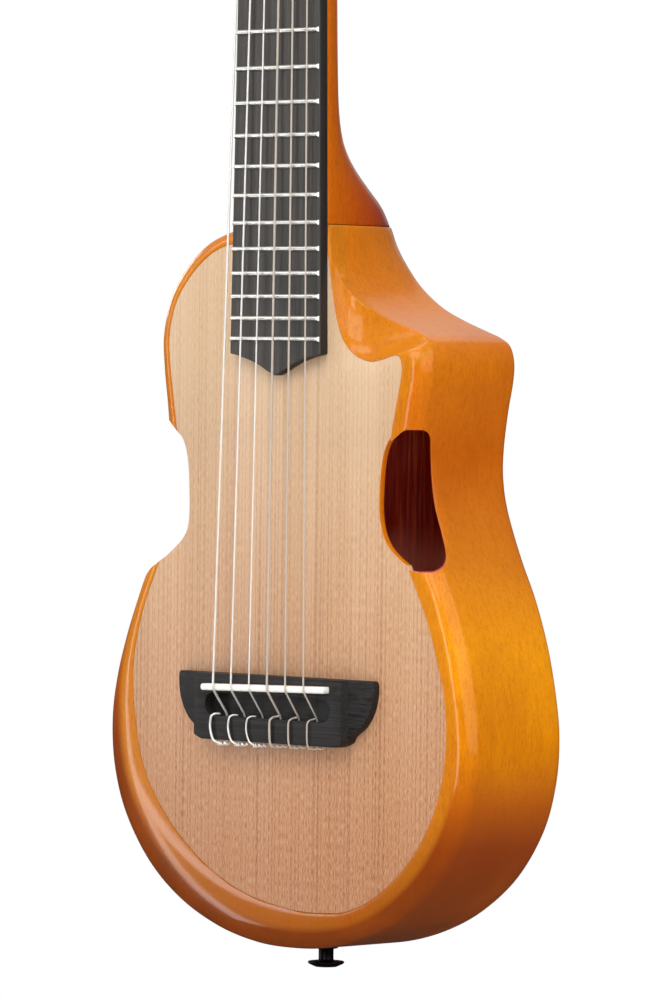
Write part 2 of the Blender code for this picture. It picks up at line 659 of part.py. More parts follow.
def make_neck(frame):
    rings = [neck_ring(z * mm * STRETCH, depth * mm, power) for z, depth, power in NECK_SECTIONS]
    neck = loft("neck", rings, "stained_mahogany")
    half = [(x * mm, z * mm) for x, z in HEAD_OUTLINE]
    outline = half + [(-x, z) for x, z in reversed(half[:-1])]
    head = flat_plate("headstock_slab", outline, 0, HEAD_THICKNESS, None, frame)
    boolean(neck, head, "UNION")
    tenon = box("tenon", (-TENON_WIDTH / 2, TENON_TOP, JOINT_Z - TENON_LENGTH),
                (TENON_WIDTH / 2, TENON_BOTTOM, JOINT_Z + 8 * mm))
    boolean(neck, tenon, "UNION")
    for side in (1, -1):
        edges = sorted((side * SLOT_INNER, side * SLOT_OUTER))
        slot = flat_plate("string_slot_%s" % ("treble" if side > 0 else "bass"),
                          stadium(SLOT_BOTTOM, SLOT_TOP, *edges), -3 * mm, HEAD_THICKNESS + 3 * mm,
                          None, frame)
        boolean(neck, slot)
    spans = []
    for height in ROLLER_HEIGHTS:
        for side in (1, -1):
            inner = side * (SLOT_INNER - JOURNAL_LENGTH - RUNNING_GAP)
            spans.append(((inner, ROLLER_DEPTH, height), (side * 40 * mm, ROLLER_DEPTH, height)))
    bores = rods("roller_bores", spans, JOURNAL_RADIUS + RUNNING_GAP, 12, None, frame)
    boolean(neck, bores)


def make_fretboard():
    end = fret_z(FRET_COUNT) - BOARD_OVERRUN
    wide = board_half_width(end)
    half = [(board_half_width(0), 0), (wide, end), (wide * 0.64, end - BOARD_POINT * 0.24),
            (wide * 0.30, end - BOARD_POINT * 0.60), (0, end - BOARD_POINT)]
    outline = half + [(-x, z) for x, z in reversed(half[:-1])]
    board = flat_plate("fretboard", outline, -BOARD_THICKNESS, -GLUE_GAP, "fretboard_black")
    bm = bmesh.new()
    slot_width = FRET_TANG + 2 * GLUE_GAP
    slot_depth = FRET_TANG_DEPTH + GLUE_GAP
    for number in range(1, FRET_COUNT + 1):
        place = Matrix.Translation((0, -BOARD_THICKNESS, fret_z(number)))
        bmesh.ops.create_cube(bm, size=1, matrix=place @ Matrix.Diagonal(
            (80 * mm, 2 * slot_depth, slot_width, 1)))
    boolean(board, mesh_object("fret_slots", bm))


def make_frets():
    """Crown and tang in one section, drawn along the board's width."""
    crown = [(FRET_WIDTH / 2 * math.cos(a), FRET_HEIGHT * math.sin(a))
             for a in [math.pi * i / 6 for i in range(7)]]
    tang = [(-FRET_TANG / 2, 0), (-FRET_TANG / 2, -FRET_TANG_DEPTH),
            (FRET_TANG / 2, -FRET_TANG_DEPTH), (FRET_TANG / 2, 0)]
    for number in range(1, FRET_COUNT + 1):
        z = fret_z(number)
        half = board_half_width(z) - FRET_INSET
        ring = [(-BOARD_THICKNESS - GLUE_GAP - height, z + across) for across, height in crown + tang]
        loft("fret_%02d" % number, [[(x, y, w) for y, w in ring] for x in (-half, half)], "fret_wire")


def string_height_y(t):
    """Depth of a string's centre, from the nut (0) to the saddle (1)."""
    nut_y = -(BOARD_THICKNESS + NUT_STRING_HEIGHT)
    return nut_y + t * (-SADDLE_STRING_HEIGHT - nut_y)


def make_nut():
    top = -(BOARD_THICKNESS + NUT_STRING_HEIGHT + 0.7 * mm)
    half = board_half_width(0)
    nut = box("nut", (-half, top, GLUE_GAP), (half, -GLUE_GAP, NUT_THICKNESS), "bone")
    soften(nut, 0.6 * mm, 2)
    bm = bmesh.new()
    for index, diameter in enumerate(STRING_DIAMETERS):
        width = diameter + 2 * GLUE_GAP
        floor = string_height_y(0) + diameter / 2 + GLUE_GAP
        bmesh.ops.create_cube(bm, size=1, matrix=Matrix.Translation(
            (string_x(index, NUT_SPREAD), floor - NUT_THICKNESS, NUT_THICKNESS / 2))
            @ Matrix.Diagonal((width, 2 * NUT_THICKNESS, 4 * NUT_THICKNESS, 1)))
    boolean(nut, mesh_object("nut_slots", bm))


# Bridge

def make_bridge():
    """Bridge with wings, a slanted saddle slot, a round-ended trough and a drilled tie block."""
    half = [(x * mm, BRIDGE_TOP_Z + z * mm) for x, z in BRIDGE_OUTLINE]
    outline = [(x + BRIDGE_SHIFT, z) for x, z in half + [(-x, z) for x, z in reversed(half)]]
    bridge = flat_plate("bridge", outline, -BRIDGE_HEIGHT, -GLUE_GAP, "ebony")
    body_half = BRIDGE_BODY_LENGTH / 2
    end = BRIDGE_LENGTH / 2 + 6 * mm
    for side, name in ((1, "treble"), (-1, "bass")):
        near, far = BRIDGE_TOP_Z + 10 * mm, BRIDGE_BOTTOM_Z - 10 * mm
        section = [(side * body_half, -WING_ROOT_HEIGHT), (side * end, -WING_END_HEIGHT),
                   (side * end, -20 * mm), (side * (body_half - 2.5 * mm), -20 * mm),
                   (side * (body_half - 1.5 * mm), -WING_ROOT_HEIGHT - 1.6 * mm)]
        rings = [[(x + BRIDGE_SHIFT, y, z) for x, y in section] for z in (near, far)]
        boolean(bridge, loft("wing_relief_" + name, rings))
    ramp_depth = 3 * mm
    ramp = [(-BRIDGE_HEIGHT - 2 * mm, BRIDGE_TOP_Z + 2 * mm),
            (-BRIDGE_HEIGHT + ramp_depth * 1.2, BRIDGE_TOP_Z + 2 * mm),
            (-BRIDGE_HEIGHT - 0.6 * mm, BRIDGE_TOP_Z - ramp_depth)]
    boolean(bridge, loft("bridge_ramp", [[(x, y, z) for y, z in ramp] for x in (-end, end)]))
    trough_top = SADDLE_Z - SADDLE_THICKNESS / 2 - 1.6 * mm
    radius = (trough_top - TIE_BLOCK_TOP_Z) / 2
    trough_outline = [(along + BRIDGE_SHIFT, across) for across, along in stadium(
        -TROUGH_HALF_LENGTH, TROUGH_HALF_LENGTH, TIE_BLOCK_TOP_Z, TIE_BLOCK_TOP_Z + 2 * radius)]
    boolean(bridge, flat_plate("tie_trough", trough_outline, -BRIDGE_HEIGHT - 5 * mm, -TROUGH_FLOOR))
    slot_half = SADDLE_LENGTH / 2 + GLUE_GAP
    slot = box("saddle_slot", (-slot_half, -BRIDGE_HEIGHT - 5 * mm, -SADDLE_THICKNESS / 2 - GLUE_GAP),
               (slot_half, -SADDLE_SLOT_FLOOR, SADDLE_THICKNESS / 2 + GLUE_GAP))
    slot.location = (BRIDGE_SHIFT, 0, SADDLE_Z)
    slot.rotation_euler = (0, -SADDLE_SLANT, 0)
    boolean(bridge, slot)
    spans = [((string_x(i, SADDLE_SPREAD), -STRING_HOLE_HEIGHT, TIE_BLOCK_TOP_Z + 3 * mm),
              (string_x(i, SADDLE_SPREAD), -STRING_HOLE_HEIGHT, BRIDGE_BOTTOM_Z - 5 * mm))
             for i in range(6)]
    boolean(bridge, rods("string_holes", spans, STRING_HOLE_RADIUS, 8))


def make_saddle():
    top = -(SADDLE_STRING_HEIGHT - max(STRING_DIAMETERS) / 2 - GLUE_GAP)
    half = SADDLE_LENGTH / 2
    saddle = box("saddle", (-half, top, -SADDLE_THICKNESS / 2),
                 (half, -SADDLE_SLOT_FLOOR - GLUE_GAP, SADDLE_THICKNESS / 2), "bone")
    saddle.location = (BRIDGE_SHIFT, 0, SADDLE_Z)
    saddle.rotation_euler = (0, -SADDLE_SLANT, 0)
    soften(saddle, 1.0 * mm, 2)


# Strings

def roller_of(index):
    """Side, roller height and slot X of a string: outer strings take the nearest rollers."""
    side = -1 if index < 3 else 1
    order = index if index < 3 else 5 - index
    return side, ROLLER_HEIGHTS[order], side * (20.5 - 3.6 * order) * mm


def winding(frame, index, radius):
    """Turns of a string on its roller, in the frame of the instrument."""
    side, height, start_x = roller_of(index)
    reach = ROLLER_RADIUS + RUNNING_GAP + radius
    pitch = 2 * radius + GLUE_GAP
    points = []
    turns, per_turn = 1.5, 9
    for k in range(int(turns * per_turn) + 1):
        angle = -math.pi / 2 - 0.35 + 2 * math.pi * k / per_turn
        x = start_x - side * pitch * k / per_turn
        points.append(frame.matrix_world @ Vector((x, ROLLER_DEPTH + reach * math.sin(angle),
                                                   height + reach * math.cos(angle))))
    return points


def tie_loop(index, radius):
    """From the saddle down through the tie block and back over it, beside the string."""
    x = string_x(index, SADDLE_SPREAD)
    block_front = -(BRIDGE_HEIGHT + GLUE_GAP + radius)
    below = BRIDGE_BOTTOM_Z - GLUE_GAP - radius
    above = TIE_BLOCK_TOP_Z + GLUE_GAP + radius
    hole = -STRING_HOLE_HEIGHT
    aside = -(2 * radius + GLUE_GAP)
    return [Vector(p) for p in (
        (x, hole - 0.6 * mm, TIE_BLOCK_TOP_Z + 1.6 * mm), (x, hole, TIE_BLOCK_TOP_Z - 0.2 * mm),
        (x, hole, BRIDGE_BOTTOM_Z + 0.2 * mm), (x - 0.1 * mm, hole - 0.5 * mm, below - 0.8 * mm),
        (x + aside * 0.5, (hole + block_front) / 2, below - 1.1 * mm),
        (x + aside, block_front + 0.5 * mm, below - 0.4 * mm),
        (x + aside * 1.3, block_front - 0.1 * mm, below + 1.2 * mm),
        (x + aside * 1.9, block_front - 0.25 * mm, (below + above) / 2),
        (x + aside * 1.5, block_front - 0.1 * mm, above - 1.0 * mm),
        (x + aside * 1.3, block_front + 1.3 * mm, above + 0.1 * mm))]


def make_strings(frame):
    for index, diameter in enumerate(STRING_DIAMETERS):
        radius = diameter / 2
        nut_x = string_x(index, NUT_SPREAD)
        saddle_x = string_x(index, SADDLE_SPREAD)
        saddle_z = SADDLE_Z + saddle_x * math.tan(SADDLE_SLANT)
        nut_y, saddle_y = string_height_y(0), string_height_y(1)
        points = list(reversed(winding(frame, index, radius)))
        points += [Vector((nut_x, nut_y + 0.1 * mm, NUT_THICKNESS + 0.3 * mm)),
                   Vector((nut_x, nut_y, NUT_THICKNESS - 1.2 * mm)), Vector((nut_x, nut_y, 0))]
        points += [Vector((saddle_x, saddle_y, saddle_z + 0.9 * mm)),
                   Vector((saddle_x, saddle_y + 0.05 * mm, saddle_z - 0.9 * mm)),
                   Vector((saddle_x, saddle_y + 0.9 * mm, saddle_z - SADDLE_THICKNESS / 2 - 0.5 * mm))]
        points += tie_loop(index, radius)
        curve = bpy.data.curves.new("string_%d" % (6 - index), "CURVE")
        curve.dimensions = "3D"
        curve.bevel_depth = radius
        curve.bevel_resolution = 1
        curve.use_fill_caps = True
        spline = curve.splines.new("POLY")
        spline.points.add(len(points) - 1)
        for target, point in zip(spline.points, points):
            target.co = (*point, 1)
        wound = "silvered_wire" if index < 3 else "clear_nylon"
        curve_to_mesh(add_object(curve.name, curve), wound)


# Tuning machines, made in the headstock's frame

def worm_wheel_rings(centre_x):
    """Toothed outline at both faces of the wheel, twisted to follow the worm's thread."""
    lead = math.atan(WORM_PITCH / (2 * math.pi * WORM_PITCH_RADIUS))
    twist = WHEEL_WIDTH * math.tan(lead) / WHEEL_RADIUS
    tip_radius = WHEEL_RADIUS + TOOTH_HEIGHT
    foot_radius = WHEEL_RADIUS - TOOTH_HEIGHT - RUNNING_GAP
    tip = WHEEL_TOOTH * WHEEL_TOOTH_TIP / tip_radius / 2
    foot = WHEEL_TOOTH * WHEEL_TOOTH_FOOT / foot_radius / 2
    outline = []
    for tooth in range(WHEEL_TEETH):
        middle = 2 * math.pi * tooth / WHEEL_TEETH - math.pi / 2
        outline += [(foot_radius, middle - foot), (tip_radius, middle - tip),
                    (tip_radius, middle + tip), (foot_radius, middle + foot)]
    return [[(centre_x + end * WHEEL_WIDTH, radius * math.cos(angle - end * twist),
              radius * math.sin(angle - end * twist)) for radius, angle in outline]
            for end in (-0.5, 0.5)]


def make_roller(number, side, height, frame):
    """String roller with its worm wheel: one turning piece on an X axis."""
    wheel_end = WHEEL_X + WHEEL_WIDTH / 2
    profile = [(JOURNAL_RADIUS, SLOT_INNER - JOURNAL_LENGTH),
               (JOURNAL_RADIUS, SLOT_INNER + RUNNING_GAP), (ROLLER_RADIUS, SLOT_INNER + RUNNING_GAP),
               (ROLLER_RADIUS, SLOT_OUTER - RUNNING_GAP), (JOURNAL_RADIUS, SLOT_OUTER - RUNNING_GAP),
               (JOURNAL_RADIUS, wheel_end + 0.2 * mm), (JOURNAL_RADIUS - 0.5 * mm, wheel_end + 1 * mm)]
    rings = []
    for radius, x in profile:
        angles = [2 * math.pi * k / ROLLER_SIDES for k in range(ROLLER_SIDES)]
        rings.append([(side * x, radius * math.cos(a), radius * math.sin(a)) for a in angles])
    roller = loft("string_roller_%d" % number, rings, "nickel", frame)
    wheel = loft("worm_wheel_%d" % number, worm_wheel_rings(side * WHEEL_X), None, frame)
    for obj in (roller, wheel):
        obj.location = (0, ROLLER_DEPTH, height)
    boolean(roller, wheel, "UNION")
    return roller


def make_worm_shaft(number, side, height, frame):
    """Worm between two plain journals, running back into the knob."""
    root = WORM_PITCH_RADIUS - TOOTH_HEIGHT - RUNNING_GAP
    half_length = WORM_PITCH * WORM_TURNS / 2
    back = HEAD_THICKNESS + KNOB_CLEARANCE + KNOB_SOCKET - GLUE_GAP
    front = ROLLER_DEPTH - PLATE_WIDTH / 2 - 0.6 * mm
    shaft = rods("worm_shaft_%d" % number, [((0, front, 0), (0, back, 0))], WORM_SHAFT_RADIUS, 10,
                 "nickel", frame)
    core = rods("worm_core_%d" % number, [((0, ROLLER_DEPTH - half_length - WORM_THREAD, 0),
                                           (0, ROLLER_DEPTH + half_length + WORM_THREAD, 0))],
                root, 10, None, frame)
    rings = []
    count = round(WORM_TURNS * WORM_STEPS)
    for k in range(count + 1):
        along = WORM_PITCH * (k - count / 2) / WORM_STEPS
        angle = 2 * math.pi * along / WORM_PITCH - math.pi / 2
        crest = root + 0.15 * mm if k in (0, count) else WORM_OUTER_RADIUS
        section = ((root - 0.5 * mm, -1.4), (crest, -0.6), (crest, 0.6), (root - 0.5 * mm, 1.4))
        rings.append([(radius * math.cos(angle), ROLLER_DEPTH + along + across * WORM_THREAD / 2,
                       radius * math.sin(angle)) for radius, across in section])
    thread = loft("worm_thread_%d" % number, rings, None, frame)
    for obj in (shaft, core, thread):
        obj.location = (side * WHEEL_X, 0, height - WORM_OFFSET)
    boolean(shaft, core, "UNION")
    boolean(shaft, thread, "UNION")


def make_knob(number, side, height, frame):
    """Paddle-shaped button on the worm shaft's end."""
    near = HEAD_THICKNESS + KNOB_CLEARANCE
    knob = box("tuner_knob_%d" % number, (-KNOB_WIDTH / 2, near, -KNOB_THICKNESS / 2),
               (KNOB_WIDTH / 2, near + KNOB_LENGTH, KNOB_THICKNESS / 2), "black_plastic", frame)
    soften(knob, 2.9 * mm, 2)
    socket = rods("knob_socket_%d" % number, [((0, near - 1 * mm, 0), (0, near + KNOB_SOCKET, 0))],
                  WORM_SHAFT_RADIUS + GLUE_GAP, 12, None, frame)
    for obj in (knob, socket):
        obj.location = (side * WHEEL_X, 0, height - WORM_OFFSET)
    boolean(knob, socket)


def make_tuner_plate(side, frame):
    """Side plate with a pair of lugs for each worm."""
    name = "tuner_plate_%s" % ("treble" if side > 0 else "bass")
    low = ROLLER_HEIGHTS[0] - WORM_OFFSET - PLATE_MARGIN
    high = ROLLER_HEIGHTS[-1] + PLATE_MARGIN
    edge_low = ROLLER_DEPTH - PLATE_WIDTH / 2
    edge_high = ROLLER_DEPTH + PLATE_WIDTH / 2
    inner = HEAD_HALF_WIDTH + GLUE_GAP
    plate_x = sorted((side * inner, side * PLATE_OUTER_X))
    plate = box(name, (plate_x[0], edge_low, low), (plate_x[1], edge_high, high), "nickel", frame)
    lug_x = sorted((side * (PLATE_OUTER_X - 0.5 * mm), side * (WHEEL_X + 2.6 * mm)))
    bm = bmesh.new()
    for height in ROLLER_HEIGHTS:
        for y in (edge_low + LUG_THICKNESS / 2 + 0.2 * mm, edge_high - LUG_THICKNESS / 2 - 0.2 * mm):
            middle = (sum(lug_x) / 2, y, height - WORM_OFFSET)
            size = (lug_x[1] - lug_x[0], LUG_THICKNESS, LUG_WIDTH, 1)
            bmesh.ops.create_cube(bm, size=1, matrix=Matrix.Translation(middle) @ Matrix.Diagonal(size))
    boolean(plate, mesh_object(name + "_lugs", bm, None, frame), "UNION")
    worms = [((side * WHEEL_X, -5 * mm, height - WORM_OFFSET), (side * WHEEL_X, 25 * mm, height - WORM_OFFSET))
             for height in ROLLER_HEIGHTS]
    boolean(plate, rods(name + "_worm_bores", worms, WORM_SHAFT_RADIUS + RUNNING_GAP, 10, None, frame))
    rollers = [((side * (inner - 2 * mm), ROLLER_DEPTH, height),
                (side * (PLATE_OUTER_X + 0.3 * mm), ROLLER_DEPTH, height)) for height in ROLLER_HEIGHTS]
    boolean(plate, rods(name + "_roller_bores", rollers, JOURNAL_RADIUS + RUNNING_GAP, 12, None, frame))


def make_tuners(frame):
    for side in (-1, 1):
        make_tuner_plate(side, frame)
        for order, height in enumerate(ROLLER_HEIGHTS):
            number = 6 - order if side < 0 else 1 + order
            make_roller(number, side, height, frame)
            make_worm_shaft(number, side, height, frame)
            make_knob(number, side, height, frame)


def main():
    clear_scene()
    frame = head_frame()
    make_body()
    make_soundboard()
    make_bracing()
    make_strap_button()
    make_neck(frame)
    make_fretboard()
    make_frets()
    make_nut()
    make_bridge()
    make_saddle()
    make_strings(frame)
    make_tuners(frame)
    bpy.context.view_layer.update()


main()
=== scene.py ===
"""Looks of the guitalele: amber-stained mahogany body and neck under gloss lacquer, cedar soundboard,
black dyed fretboard and bridge, bright wound basses, clear trebles and open worm-geared tuners.

Frame as in the model: X towards the treble side, Y towards the back, Z up along the neck.
"""
import math

import bmesh
import bpy
from mathutils import Matrix, Vector


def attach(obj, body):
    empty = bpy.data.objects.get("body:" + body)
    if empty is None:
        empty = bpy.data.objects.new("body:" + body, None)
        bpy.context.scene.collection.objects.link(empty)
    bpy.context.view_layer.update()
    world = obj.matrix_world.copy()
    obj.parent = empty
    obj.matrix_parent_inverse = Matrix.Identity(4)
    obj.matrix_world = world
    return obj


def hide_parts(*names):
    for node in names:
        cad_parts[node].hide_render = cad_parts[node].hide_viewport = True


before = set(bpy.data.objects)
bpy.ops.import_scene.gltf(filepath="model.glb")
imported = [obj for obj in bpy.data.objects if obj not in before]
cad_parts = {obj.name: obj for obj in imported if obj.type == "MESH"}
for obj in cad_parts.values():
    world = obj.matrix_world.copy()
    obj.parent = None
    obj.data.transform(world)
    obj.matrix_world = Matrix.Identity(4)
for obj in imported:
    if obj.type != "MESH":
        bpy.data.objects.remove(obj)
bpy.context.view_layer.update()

mm = 0.001
INSTRUMENT = "instrument"

# Camera, from the photograph: the view's pivot is a point of the fretboard's face
PIVOT = Vector((0, -5.2, -300)) * mm
AZIMUTH = math.radians(45.16)
ELEVATION = math.radians(1.19)
ROLL = math.radians(0.62)
DISTANCE = 2822 * mm
SHIFT_RIGHT = 26.23 * mm
SHIFT_UP = -51.03 * mm
LENS = 230.0

# Sizes, as in the model
GAP = 0.12 * mm
SCALE_LENGTH = 433 * mm
FRET_COUNT = 18
NUT_WIDTH = 47.2 * mm
LAST_FRET_WIDTH = 56.4 * mm
BOARD_THICKNESS = 5.2 * mm
BOARD_OVERRUN = 6.5 * mm
BOARD_POINT = 9.6 * mm
FRET_HEIGHT = 1.1 * mm
FRET_INSET = 0.2 * mm
STRING_DIAMETERS = [1.10 * mm, 0.92 * mm, 0.76 * mm, 1.02 * mm, 0.84 * mm, 0.72 * mm]
NUT_SPREAD = 39.4 * mm
SADDLE_SPREAD = 57.2 * mm
NUT_STRING_HEIGHT = 2.5 * mm
SADDLE_STRING_HEIGHT = 13.3 * mm
SADDLE_Z = -434.2 * mm
SADDLE_SLANT = math.radians(1.2)
BODY_DEPTH = 62 * mm
JOINT_Z = -229.5 * mm
BACK_RADIUS = 4 * mm
BACK_THICKNESS = 3.5 * mm
LEDGE_WIDTH = 6.5 * mm
LIP_WIDTH = 0.8 * mm
NECK_BLOCK_LENGTH = 33 * mm
SOUNDBOARD_THICKNESS = 3.0 * mm

# Each section of the rim: outer X and Z, soundboard edge X and Z, depth of the edge's shaping,
# its bulge (1 a quarter round, below 0 a hollow scoop) and how far its back leans in, all in mm
RIM_SECTIONS = [
    (-27.4, -229.5, -26.8, -236.0, 0.4, 1.0, 0),
    (-29.6, -230.4, -29.8, -236.4, 6.5, 1.0, 0),
    (-40.6, -232.2, -40.5, -238.6, 9.0, 1.0, 0),
    (-53.6, -236.8, -50.5, -243.4, 10.0, 1.0, 0),
    (-67.0, -247.0, -60.8, -251.8, 10.0, 1.0, 0),
    (-77.4, -261.8, -69.6, -263.2, 10.0, 1.0, 0),
    (-82.0, -278.2, -74.0, -277.6, 10.0, 1.0, 0),
    (-81.3, -294.0, -73.4, -291.5, 10.0, 1.0, 0),
    (-79.0, -311.0, -70.6, -309.0, 10.0, 1.0, 0),
    (-77.7, -328.0, -67.8, -327.5, 10.0, 1.0, 0),
    (-77.8, -342.0, -67.6, -343.5, 10.0, 1.0, 0),
    (-80.2, -355.4, -71.0, -360.0, 10.0, 1.0, 0),
    (-87.6, -375.2, -79.6, -380.9, 10.0, 1.0, 0),
    (-96.4, -394.2, -87.6, -397.4, 9.5, 1.0, 0),
    (-105.2, -414.2, -93.4, -414.8, 9.0, 1.0, 0),
    (-112.4, -434.8, -95.7, -431.5, 9.0, 1.0, 0),
    (-115.8, -453.6, -94.0, -451.8, 9.0, 1.0, 0),
    (-114.2, -475.2, -88.6, -472.6, 9.0, 1.0, 0),
    (-106.6, -496.2, -78.0, -489.4, 9.0, 1.0, 0),
    (-90.9, -517.2, -61.6, -505.6, 9.0, 1.0, 0),
    (-70.2, -532.8, -41.5, -518.9, 9.0, 1.0, 0),
    (-45.5, -543.5, -20.5, -527.4, 9.0, 1.0, 0),
    (-21.7, -548.9, -1.0, -531.5, 9.5, 1.0, 0),
    (0.0, -550.1, 13.0, -533.1, 10.0, 1.0, 0),
    (21.7, -548.6, 27.5, -533.2, 10.0, 1.0, 0),
    (45.3, -542.8, 44.0, -531.4, 10.0, 1.0, 0),
    (68.5, -532.4, 62.4, -523.3, 10.0, 1.0, 0),
    (89.8, -516.4, 81.0, -508.2, 10.0, 1.0, 0),
    (105.4, -495.1, 94.2, -490.0, 10.0, 1.0, 0),
    (112.7, -473.7, 101.6, -470.5, 10.0, 1.0, 0),
    (114.4, -453.3, 103.8, -451.0, 10.0, 1.0, 0),
    (112.0, -434.5, 102.2, -433.0, 10.0, 1.0, 0),
    (106.9, -413.5, 97.0, -415.4, 10.0, 1.0, 0),
    (99.2, -393.0, 89.6, -397.2, 10.0, 1.0, 0),
    (90.0, -374.6, 80.9, -380.9, 10.0, 1.0, 0),
    (81.8, -354.8, 71.8, -360.0, 10.0, 1.0, 0),
    (78.8, -341.0, 67.8, -343.5, 10.0, 1.0, 0),
    (78.8, -328.0, 67.8, -327.5, 10.0, 1.0, 0),
    (81.2, -311.5, 71.0, -310.5, 10.0, 1.0, 0),
    (84.1, -298.0, 74.2, -297.0, 10.0, 1.0, 0),
    (84.6, -289.0, 74.6, -290.4, 10.0, 1.0, 0),
    (82.0, -281.8, 72.4, -286.6, 10.5, 0.7, 0),
    (76.6, -278.3, 68.6, -286.4, 11.2, 0.0, 0),
    (68.7, -275.6, 63.6, -287.4, 11.8, -0.5, 0),
    (55.0, -271.0, 54.5, -288.6, 11.0, -0.6, 0),
    (44.0, -266.1, 45.6, -286.2, 9.6, -0.6, 1.5),
    (36.2, -260.6, 38.4, -280.4, 7.4, -0.6, 3.7),
    (31.6, -254.6, 33.9, -271.6, 5.2, -0.5, 8),
    (29.2, -247.5, 30.8, -259.5, 3.6, -0.2, 14),
    (28.1, -238.5, 28.2, -245.0, 2.0, 0.4, 22.4),
    (27.9, -231.4, 27.0, -237.4, 0.8, 1.0, 27.6),
    (27.4, -229.5, 26.4, -236.0, 0.4, 1.0, 28.6),
]
JOINT_FACE_X = [16 * mm, 5 * mm, -6 * mm, -17 * mm]
JOINT_FACE_LEAN = [20 * mm, 12.5 * mm, 7.5 * mm, 4 * mm]
JOINT_FACE_EDGE = -236 * mm

# Side ports, in mm: the notches in the soundboard's edges, and at each height the sums of X and
# depth between which the window through the rim opens, its back face slanted
PORT_NOTCH = [(74, -318.4), (69.6, -320.6), (64.6, -326.6), (62.2, -335), (61.2, -346), (61.3, -356),
              (63.2, -364), (67.6, -370.6), (75, -376), (82, -379.4)]
BASS_NOTCH = [(78.9, -311.3), (72.5, -317.1), (68.5, -320.8), (64.1, -324.5), (61.4, -330.0),
              (59.9, -337.5), (59.2, -347.4), (59.0, -357.4), (59.8, -363.8), (61.9, -368.2),
              (66.3, -372.5), (73.5, -377.8), (80.0, -381.5), (84.6, -384.3), (88.0, -388.2)]
PORT_WINDOW = [(-319.0, 77, 87.5), (-320.2, 74, 90.5), (-322.5, 70.5, 92), (-325, 66, 92.2),
               (-331, 54.2, 92.5), (-342, 54.2, 93.4), (-353, 54.2, 95.6), (-364, 54.2, 99.7),
               (-373, 62, 102.5), (-377.5, 71, 101.5), (-379.6, 79, 98.5), (-380.8, 86, 94.5)]
PORT_INNER_X = 57 * mm
SWEEP_DEPTH = 36 * mm         # where the bass port's notch has run out of the side

# Neck: Z, depth behind the glue plane and squareness of the D section
NECK_SECTIONS = [(5.0, 15.4, 2.3), (-8.0, 15.5, 2.3), (-60.0, 15.9, 2.3), (-127.0, 16.4, 2.3),
                 (-160.0, 17.0, 2.3), (-178.0, 18.4, 2.25), (-190.5, 22.8, 2.1), (-198.8, 29.2, 2.0),
                 (-206.3, 37.0, 2.0), (-213.7, 46.2, 2.0), (-221.0, 54.8, 2.0), (-229.2, 60.4, 2.0)]
NUT_THICKNESS = 5 * mm
HEAD_THICKNESS = 17 * mm
HEAD_HALF_WIDTH = 31 * mm
HEAD_OUTLINE = [(23.9, 0.0), (24.3, 3.5), (26.8, 8.0), (30.0, 12.0), (31.0, 17.0), (31.0, 70.0),
                (31.0, 126.0), (29.6, 131.5), (24.0, 135.4), (12.0, 138.2), (0.0, 139.2)]
SLOT_INNER = 8.5 * mm
SLOT_OUTER = 23.5 * mm
SLOT_BOTTOM = 14 * mm
SLOT_TOP = 122 * mm
HEAD = Matrix.Translation((0, 0.15 * mm, 4.6 * mm)) @ Matrix.Rotation(math.radians(-13), 4, "X")

ROLLER_HEIGHTS = [32 * mm, 67 * mm, 102 * mm]
ROLLER_DEPTH = 8.5 * mm
ROLLER_RADIUS = 3.5 * mm
JOURNAL_RADIUS = 2.4 * mm
JOURNAL_LENGTH = 4.0 * mm
RUNNING_GAP = 0.35 * mm
PLATE_OUTER_X = HEAD_HALF_WIDTH + GAP + 1.2 * mm
PLATE_WIDTH = 15 * mm
WHEEL_X = 36.1 * mm
WORM_OFFSET = 8.3 * mm
WORM_SHAFT_RADIUS = 1.5 * mm
KNOB_SIZE = (13.5 * mm, 17 * mm, 6.6 * mm)
KNOB_START = HEAD_THICKNESS + 2.6 * mm

BRIDGE_SHIFT = 0.9 * mm
BRIDGE_TOP_Z = SADDLE_Z + 5.4 * mm
BRIDGE_HEIGHT = 8.6 * mm
BRIDGE_BODY_HALF = 47 * mm
WING_END_X = 67.2 * mm
WING_END_HEIGHT = 3.0 * mm
WING_ROOT_HEIGHT = 5.2 * mm
BRIDGE_OUTLINE = [(60.4, 0.0), (61.4, -1.6), (61.3, -7.0), (59.2, -14.0), (54.6, -20.4), (48.6, -24.6),
                  (46.4, -27.6), (41.6, -29.6)]
BRIDGE_BOTTOM_Z = BRIDGE_TOP_Z - 29.6 * mm
TIE_BLOCK_TOP_Z = BRIDGE_BOTTOM_Z + 10.6 * mm
TROUGH_FLOOR = 2.6 * mm
TROUGH_HALF_LENGTH = 39.6 * mm
SADDLE_THICKNESS = 3.0 * mm
SADDLE_LENGTH = 77.8 * mm
SADDLE_SLOT_FLOOR = 3.2 * mm
STRING_HOLE_RADIUS = 1.0 * mm
STRING_HOLE_HEIGHT = 4.3 * mm

BUTTON_PROFILE = [(5.3, 0.0), (5.3, 1.1), (3.7, 1.3), (3.35, 2.0), (3.35, 6.1), (3.9, 6.7), (8.0, 7.0),
                  (8.2, 7.5), (7.7, 8.1), (4.9, 9.4)]
BUTTON_BORE = [(3.32, 9.4), (3.32, 8.9), (2.0, 7.4), (2.0, 0.0)]
TAIL_Z = -550.1 * mm


# Colours and finishes

def linear(hex_colour):
    """Linear red, green, blue and alpha of an sRGB hex colour."""
    parts = [int(hex_colour[i:i + 2], 16) / 255 for i in (1, 3, 5)]
    return tuple(c / 12.92 if c <= 0.04045 else ((c + 0.055) / 1.055) ** 2.4 for c in parts) + (1.0,)


